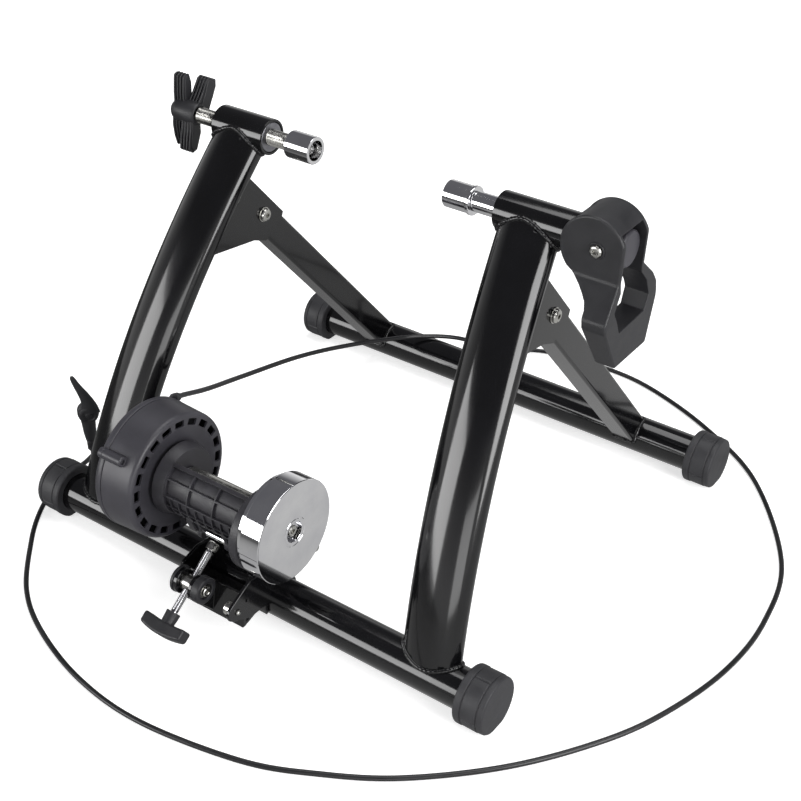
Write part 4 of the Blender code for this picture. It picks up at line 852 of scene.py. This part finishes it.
def make_cage():
    """Moulded half cage that holds the roller: a ribbed shell between a flange and a ring."""
    wall, seat, ring_drop = 3.5, 13.5, 6.8
    root = YOKE_R - 1
    shell = plate("roller_cage", band(*UNIT, YOKE_R - wall, YOKE_R, 224, 115, 60), YOKE_ENDS, soft=0.5)
    low, high = 31.3, 42
    ring = turned("cage_ring", [
        (low, 0), (low, 36), (low + 0.5, 38), (low + 1.8, 38.8), (high - 1.4, 39), (high - 0.4, 38.6),
        (high, 37.6), (high, 0),
    ], spot(0, UNIT[0] - ring_drop, UNIT[1] - ring_drop), soft=0.5)
    parts = [
        shaped(ring, on_unit("bearing_seat", rod((20, 60), seat), steps=48, soft=0)),
        on_unit("cage_flange", [
            (-67.9, seat), (-67.9, 35.5), (-64, 34.4), (-58, 32.6), (-56.2, 32.2), (-56.2, seat), (-67.9, seat),
        ], soft=0.5),
    ]
    for angle, thick in ((118.5, 3.6), (144.6, 1.5), (174.4, 1.5), (197, 1.0), (222, 1.6)):
        outer = YOKE_R + (3.2 if angle < 180 else 2.4)
        rib = band(*UNIT, root, outer, angle - thick, angle + thick, 2)
        parts.append(plate("long_rib", rib, YOKE_ENDS, soft=0.35))
    for x in (-55.6, -29, 1, 30.6):
        rib = band(*UNIT, root, YOKE_R + 2.8, 116, 175, 30)
        parts.append(plate("cross_rib", rib, (x - 0.9, x + 0.9), soft=0.35))
    for x in range(-50, 31, 10):
        rib = band(*UNIT, root, YOKE_R + 2.1, 175, 222, 20)
        parts.append(plate("low_rib", rib, (x - 0.7, x + 0.7), soft=0.25))
    bar = ADJUSTER[1] + ADJUSTER_WAY.y * PUSH_BAR_OUT, ADJUSTER[2] + ADJUSTER_WAY.z * PUSH_BAR_OUT
    arm = about(UNIT, ((-19.5, -18.5), (-21, -27), (-17, -38), (-4, -45)))
    arm += arc(*YOKE_PIN, 9, 220, 420, 30) + about(UNIT, ((5, -27),))
    lug = arc(*bar, 7.5, 150, 390, 30) + about(UNIT, ((1, -27.5), (-17, -21.5), (-19, -23)))
    walls = (
        ("left_arm", arm, (-42.6, -34.6)), ("right_arm", arm, (19.4, 27.4)),
        ("left_lug", lug, (-36, -31)), ("right_lug", lug, (-3.7, 1.3)),
    )
    parts += [plate(name, outline, ends, soft=0.8) for name, outline, ends in walls]
    fit(joined(shell, *parts), "yoke", "cage", "dark_plastic", "roller_yoke")
    bar = turned("push_bar", rod((-34.5, -0.2), PUSH_BAR_R), spot(0, *bar), steps=48, soft=0.5)
    fit(bar, "yoke", "chrome", "zinc_steel", "adjuster_cross_bar")


def make_rotor():
    """Roller and the chromed flywheel with its bolt."""
    roller = on_unit("tyre_roller", ring((-54, 29.5), 15, 6.3), soft=1.2)
    fit(roller, "rotor", "zinc", "zinc_steel", "roller")
    wheel = on_unit("chromed_flywheel", [
        (42.3, 6.3), (42.3, 44.3), (43.1, 45.1), (48.9, 45.1), (48.9, 48.9), (49.1, 49.3), (49.6, 49.5),
        (69.0, 49.5), (69.5, 49.4), (69.9, 49.0), (70.0, 48.5), (70.0, 14.4), (69.6, 14.0), (69.6, 13.0),
        (70.0, 12.6), (70.0, 10.2), (69.8, 10), (63, 10), (63, 6.3), (42.3, 6.3),
    ], steps=192, soft=0)
    fit(wheel, "rotor", "chrome", "chrome", "flywheel")
    face = 68.4
    screw = on_unit("flywheel_bolt", [
        (61.3, 0), (61.3, 5.5), (face - 1.4, 5.5), (face - 0.2, 4.8), (face, 3.8), (face, 0),
    ], steps=48, soft=0.2)
    socketed(screw, (face - 2.4, face + 5), 2.4, spot(0, *UNIT))
    fit(screw, "rotor", "zinc", "zinc_steel", "flywheel_screw")


# The bracket and the adjuster


def make_bracket():
    """Folded black steel bracket over the front tube, with its fittings."""
    rivet = (-60, 47.9)
    saddle = band(0, TUBE_Z, TUBE_R + 3.5, TUBE_R + 0.3, -20, 200, 48)
    rear = arc(*YOKE_PIN, 9, -70, 100, 20) + [(10, 62)]
    left = [(12, 42), (24, 40), *rear, (-28.7, 68), (-49.7, 62), (-52, 56), (-52, 36), (-20, 33)]
    right = [(12, 42), (24, 40), *rear, (-39.5, 71), (-66, 57.5), (-70, 54.5), (-71.7, 51), (-71.4, 47)]
    right += [(-70, 43.6), (-67, 41), (-43.5, 29), (-20.5, 28)]
    front = [(-53.4, 23), (-50.4, 23), (-17, 33), (-17.8, 36.5), (-48.5, 27.5), (-44.5, 56.5), (-47.5, 57)]
    lug = arc(*ADJUSTER[1:], 12.6, 70, 235, 36) + [(-51.8, 24), (-48, 28.5), (-46, 56)]
    shapes = (
        ("saddle", saddle, (-46.3, 31)), ("left_cheek", left, (-46.3, -43)), ("right_cheek", right, (27.8, 31)),
        ("front_wall", front, (-45.3, 30)), ("left_lug", lug, (-28, -24.2)), ("right_lug", lug, (-10.4, -6.6)),
    )
    parts = [plate(name, outline, ends, soft=0) for name, outline, ends in shapes]
    bracket = parts[0]
    for part in parts[1:]:
        shaped(bracket, part, "UNION")
    holes = (
        (YOKE_PIN, 4.3, (-60, 60)), (ADJUSTER[1:], 3.3, (-60, 20)),
        (rivet, 2.8, (10, 60)), ((-46.5, 52.5), 1.6, (10, 60)),
    )
    for centre, r, ends in holes:
        shaped(bracket, turned("drill", rod(ends, r), spot(0, *centre), steps=32, soft=0))
    bracket.name = "unit_bracket"
    soften(bracket, 0.5)
    fit(bracket, "frame", "enamel", "black_steel", "roller_bracket")
    at = spot(0, *ADJUSTER[1:])
    left = turned("adjuster_boss_left", [
        (-28.3, 3.3), (-28.3, 13.1), (-31.0, 13.1), (-31.9, 12.2), (-32.4, 10.8), (-32.4, 3.3), (-28.3, 3.3)
    ], at, soft=0.4)
    fit(left, "frame", "nylon", "dark_plastic", "left_trunnion_boss")
    right = turned("adjuster_boss_right", [
        (-6.3, 3.3), (-6.3, 13.1), (0.3, 13.1), (1.5, 12.5), (2.1, 11.3), (2.1, 8.4), (1.6, 7.6), (-0.9, 7.6),
        (-0.9, 3.3), (-6.3, 3.3),
    ], at, soft=0.3)
    fit(right, "frame", "nylon", "dark_plastic", "right_trunnion_boss")
    screw = turned("boss_screw_left", [
        (-36.2, 0), (-36.2, 4.6), (-32.7, 5.4), (-32.7, 3), (-22.3, 3), (-22.3, 0),
    ], at, steps=40, soft=0.3)
    fit(screw, "frame", "zinc", "zinc_steel", "left_trunnion_screw")
    screw = turned("boss_screw_right", [
        (-12.3, 0), (-12.3, 3), (-0.6, 3), (-0.6, 6.9), (0.2, 6.9), (0.2, 4.9), (2.2, 4.7), (3.0, 3.9), (3.0, 0)
    ], at, steps=48, soft=0.2)
    socketed(screw, (1.2, 9), 2.0, at)
    fit(screw, "frame", "zinc", "zinc_steel", "right_trunnion_screw")
    pin = turned("yoke_pin", [
        (-50.6, 0), (-50.6, 6), (-46.6, 6.5), (-46.6, 4), (34.4, 4), (35, 3.4), (35, 0),
    ], spot(0, *YOKE_PIN), steps=40, soft=0.3)
    fit(pin, "frame", "zinc", "zinc_steel", "yoke_pivot_pin")
    bolt = turned("cheek_rivet", [
        (19.5, 0), (19.5, 6.6), (27.5, 6.6), (27.5, 2.5), (32.4, 2.5), (33.6, 1.6), (34, 0),
    ], spot(0, *rivet), steps=40, soft=0.3)
    fit(bolt, "frame", "zinc", "zinc_steel", "cheek_bolt")


def make_adjuster():
    """Screw adjuster: trunnion, threaded rod, swivel tip and moulded T handle."""
    at = spot(*ADJUSTER)
    trunnion = turned("swivel_barrel", rod((-6.6, 6.6), 7.8), at, steps=64, soft=0.7)
    shaped(trunnion, turned("rod_way", rod((-30, 30), 4.2), at, ADJUSTER_WAY, steps=48, soft=0))
    for low, high in ((-16, -4.7), (4.7, 16)):
        shaped(trunnion, turned("seat", rod((low, high), 3.3), at, steps=32, soft=0))
    fit(soften(trunnion, 0), "trunnion", "zinc", "zinc_steel", "adjuster_trunnion")
    tail, gap = 44.2, 1.9
    tip = PUSH_BAR_OUT - PUSH_BAR_R - gap
    core = turned("adjuster_rod", rod((9 - tail, tip - 3.4), 3.3), at, ADJUSTER_WAY, steps=40, soft=0.3)
    ridge = thread("adjuster_thread", (14.8 - tail, tip - 8.4), 3.7, 1.0, 0.4, at, ADJUSTER_WAY)
    fit(joined(core, ridge), "adjuster_screw", "chrome", "zinc_steel", "adjuster_screw")
    cap = turned("push_tip", [
        (tip - 8, 4.2), (tip - 8, 5.3), (tip - 1.2, 5.3), (tip - 0.3, 4.4), (tip, 3.2), (tip, 0), (tip - 3.1, 0),
        (tip - 3.1, 4.2), (tip - 8, 4.2),
    ], at, ADJUSTER_WAY, steps=48, soft=0.2)
    fit(cap, "adjuster_tip", "zinc", "zinc_steel", "adjuster_tip")
    fit(make_handle(at, tail), "adjuster_screw", "nylon", "dark_plastic", "adjuster_knob")


def make_handle(at, tail):
    """Moulded T handle: a thick crowned bar with rounded ends and a fluted neck."""
    across = X_WAY
    square = Vector((0, -ADJUSTER_WAY.z, ADJUSTER_WAY.y))
    reach = [-23.8 + 47.6 * i / 16 for i in range(17)]
    rim = [(x, 0.0062 * x * x - 9.6 - tail) for x in reach]
    rim += [(x, 0.0026 * x * x + 3.4 - tail) for x in reversed(reach)]
    points = [at + (across * x + ADJUSTER_WAY * h - square * 7.4) * MM for x, h in rim]
    bar = prism("t_handle", points, square * 14.8 * MM, soft=2.4, segments=4)
    neck = turned("handle_neck", [
        (-tail - 1, 0), (-tail - 1, 6.2), (14.5 - tail, 7), (14.5 - tail, 4.2), (8.7 - tail, 4.2), (8.7 - tail, 0),
    ], at, ADJUSTER_WAY, steps=64, soft=0.6)
    flute = rod((4.5 - tail, 16 - tail), 1.2)
    flutes = []
    for i in range(10):
        a = math.tau * i / 10
        place = at + (across * math.cos(a) + square * math.sin(a)) * 7.7 * MM
        flutes.append(turned("flute", flute, place, ADJUSTER_WAY, steps=16, soft=0))
    shaped(neck, joined(*flutes))
    soften(neck, 0)
    return joined(bar, neck)


# The remote shifter


def make_remote():
    """Thumb shifter behind the left end cap: drum, stem, cable barrel and curved lever."""
    view, across, up = REMOTE_VIEW, REMOTE_ACROSS, Z_WAY
    drum = spot(*REMOTE)
    body = turned("shifter_drum", [
        (-7, 0), (-7, 9.6), (-5.8, 11), (-3.4, 11), (-3.0, 10.4), (-2.2, 10.4), (-1.8, 11), (1.2, 11),
        (2, 10.2), (2, 0),
    ], drum, view, steps=80, soft=0.25)
    stations = []
    for rise, half, depth in (
        (2, 8.6, 5.2), (-6, 8, 5), (-16, 7.1, 5), (-26, 6.5, 5), (-32, 5.7, 4.8), (-36, 5, 4.5),
    ):
        stations.append((drum + (up * rise - view * 3 - across) * MM, across * half, view * depth))
    stem = lofted("shifter_stem", stations, 32, soft=0.4)
    fit(joined(body, stem), "frame", "nylon", "dark_plastic", "remote_body")
    barrel_at = drum + (-view * 3 - across - up * 36.3) * MM
    profile = [(0, 0), (0, 4.1)]
    for i in range(5):
        profile += [(0.8 + i * 2.1, 4.6), (2.0 + i * 2.1, 4.6), (2.2 + i * 2.1, 4.0), (2.7 + i * 2.1, 4.0)]
    profile += [(12, 3.4), (12, 0)]
    barrel = turned("shifter_barrel", profile, barrel_at, -up, steps=48, soft=0.15)
    fit(barrel, "frame", "nylon", "plain_steel", "remote_barrel")
    hub = turned("shifter_lever", [
        (2.3, 0), (2.3, 10), (4.6, 10.2), (6.2, 9.6), (6.9, 8.2), (6.9, 6.6), (6.0, 6.0), (6.0, 3.4),
        (7.4, 3.0), (7.4, 0),
    ], drum, view, steps=80, soft=0.2)
    stations = []
    for rise, shift, half, depth in (
        (2, 3.2, 9.2, 2.3), (8, 2.6, 8.2, 2.4), (14, 1.7, 7.2, 2.4), (20, 0, 6.2, 2.4), (27, -2.8, 5.2, 2.4),
        (34, -6, 4.2, 2.3), (41, -8.9, 3.3, 2.2), (46, -10.5, 2.7, 2.1), (48.4, -11.1, 1.6, 1.4),
    ):
        stations.append((drum + (up * rise + across * shift + view * 4.7) * MM, across * half, view * depth))
    horn = lofted("shifter_horn", stations, 32)
    fit(joined(hub, horn), "remote_lever", "nylon", "dark_plastic", "remote_lever")


def make_cable():
    """Gear cable in its sheath, from the drum's socket round the base to the shifter."""
    start = Vector(CABLE_EXIT)
    end = Vector(REMOTE) - REMOTE_VIEW * 3 - REMOTE_ACROSS - Z_WAY * 48.6
    route = [start + CABLE_WAY * 10, *[Vector(p) for p in CABLE_ROUTE], end - Z_WAY * 7]
    points = [spot(*p) for p in (start + CABLE_WAY * 0.3, *smooth_route(route), end)]
    cable = strand("gear_cable", points, CABLE_R, sides=4)
    cable.data.materials.append(FINISH["sheath"])
    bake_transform(cable)
    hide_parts("shift_cable")


# The studio


def mixed(tree, share, first, second):
    """Mix two shaders by a share."""
    return add(tree, "ShaderNodeMixShader", {0: share, 1: first.outputs[0], 2: second.outputs[0]})


def seen_straight(tree, rays):
    """Share that is 1 for rays from the camera or through glass and 0 for the rest."""
    return add(tree, "ShaderNodeMath", {
        0: rays.outputs["Is Camera Ray"], 1: rays.outputs["Is Transmission Ray"]
    }, operation="MAXIMUM").outputs[0]


def make_floor():
    """Pale floor that shows as white and keeps the soft shadow; in the metal it is a glowing card of painted light,
    dim on the left and brighter to the right.
    """
    bpy.ops.object.select_all(action="DESELECT")
    bpy.ops.mesh.primitive_plane_add(size=9, location=(0, 0, -0.0003))
    floor = bpy.context.object
    floor.name = "studio_floor"
    paint = tone("E8E8E8")
    material, tree, shader = new_finish("white_floor")
    shader.inputs["Base Color"].default_value = paint
    shader.inputs["Roughness"].default_value = 0.9
    shader.inputs["Specular IOR Level"].default_value = 0.0
    shader.inputs["Emission Color"].default_value = (1, 1, 1, 1)
    rays = add(tree, "ShaderNodeLightPath")
    way = add(tree, "ShaderNodeTexCoord").outputs["Object"]
    away = add(tree, "ShaderNodeVectorMath", {0: way}, operation="LENGTH").outputs["Value"]
    glow = add(tree, "ShaderNodeMapRange", {
        "Value": away, "From Min": 0.7, "From Max": 1.7, "To Min": 0.62, "To Max": 1.0
    })
    tree.links.new(glow.outputs["Result"], shader.inputs["Emission Strength"])
    # Painted light: in reflections the floor glows, dim on the left and brighter on the right.
    across = add(tree, "ShaderNodeSeparateXYZ", {"Vector": way}).outputs["X"]
    painted_floor_light = add(tree, "ShaderNodeMapRange", {
        "Value": across, "From Min": -0.6, "From Max": 0.35, "To Min": 0.1, "To Max": 0.6
    })
    painted_glow_card = add(tree, "ShaderNodeEmission", {"Strength": painted_floor_light.outputs["Result"]})
    plain = add(tree, "ShaderNodeBsdfDiffuse", {"Color": paint})
    unseen = mixed(tree, rays.outputs["Is Glossy Ray"], plain, painted_glow_card)
    both = mixed(tree, seen_straight(tree, rays), unseen, shader)
    tree.links.new(both.outputs[0], tree.nodes["Material Output"].inputs["Surface"])
    floor.data.materials.append(material)


def make_world():
    """White to the camera, and in the metal a white sweep that fades to a dim room above."""
    world = bpy.data.worlds.new("studio")
    bpy.context.scene.world = world
    world.use_nodes = True
    tree = world.node_tree
    tree.nodes.clear()
    rays = add(tree, "ShaderNodeLightPath")
    way = add(tree, "ShaderNodeTexCoord").outputs["Generated"]
    split = add(tree, "ShaderNodeSeparateXYZ", {"Vector": way})
    height = add(tree, "ShaderNodeValToRGB", {"Fac": split.outputs["Z"]})
    height.color_ramp.elements[0].position = 0.05
    height.color_ramp.elements[0].color = (0.8, 0.8, 0.8, 1)
    height.color_ramp.elements[1].position = 0.45
    height.color_ramp.elements[1].color = (0.12, 0.12, 0.13, 1)
    room = add(tree, "ShaderNodeBackground", {"Color": height.outputs["Color"], "Strength": 1.0})
    fill = add(tree, "ShaderNodeBackground", {"Color": (1, 1, 1, 1), "Strength": 0.3})
    white = add(tree, "ShaderNodeBackground", {"Color": (1, 1, 1, 1), "Strength": 1.0})
    mirror = mixed(tree, rays.outputs["Is Glossy Ray"], fill, room)
    both = mixed(tree, seen_straight(tree, rays), mirror, white)
    add(tree, "ShaderNodeOutputWorld", {"Surface": both.outputs[0]})


def soft_box(name, place, target, size, power):
    """Soft rectangular lamp that faces a place."""
    bpy.ops.object.light_add(type="AREA", location=place)
    lamp = bpy.context.object
    lamp.name = name
    lamp.rotation_euler = (Vector(target) - Vector(place)).to_track_quat("-Z", "Y").to_euler()
    lamp.data.shape = "RECTANGLE"
    lamp.data.size, lamp.data.size_y = size
    lamp.data.energy = power


def light_studio():
    """Four soft boxes: right, left, front and top."""
    soft_box("right_box", (2.3, -0.5, 1.1), (0, 0, 0.1), (1.3, 1.6), 48)
    soft_box("left_box", (-1.4, -2.3, 0.7), (0, 0, 0.15), (1.5, 1.2), 34)
    soft_box("front_box", (1.9, -2.7, 0.6), (0, 0, 0.15), (1.7, 1.0), 16)
    soft_box("top_box", (0.1, 0.5, 2.4), (0, 0, 0), (2.0, 1.6), 30)


set_camera()
make_cable()
make_base()
make_main_legs()
make_rear_legs()
make_screw_clamp()
make_lever_clamp()
make_housing()
make_cage()
make_rotor()
make_bracket()
make_adjuster()
make_remote()
keep("steel", "clamp_sleeve_nut", "pin_return_spring", "yoke_left_bearing", "yoke_right_bearing", "roller_shaft")
keep("oxide", "rotor_disc")
keep("nylon", "axle_pin_bush", "magnet_carrier")
keep("ferrite", "magnet_1", "magnet_2", "magnet_3")
make_floor()
make_world()
light_studio()

bpy.context.scene.view_settings.view_transform = "Standard"
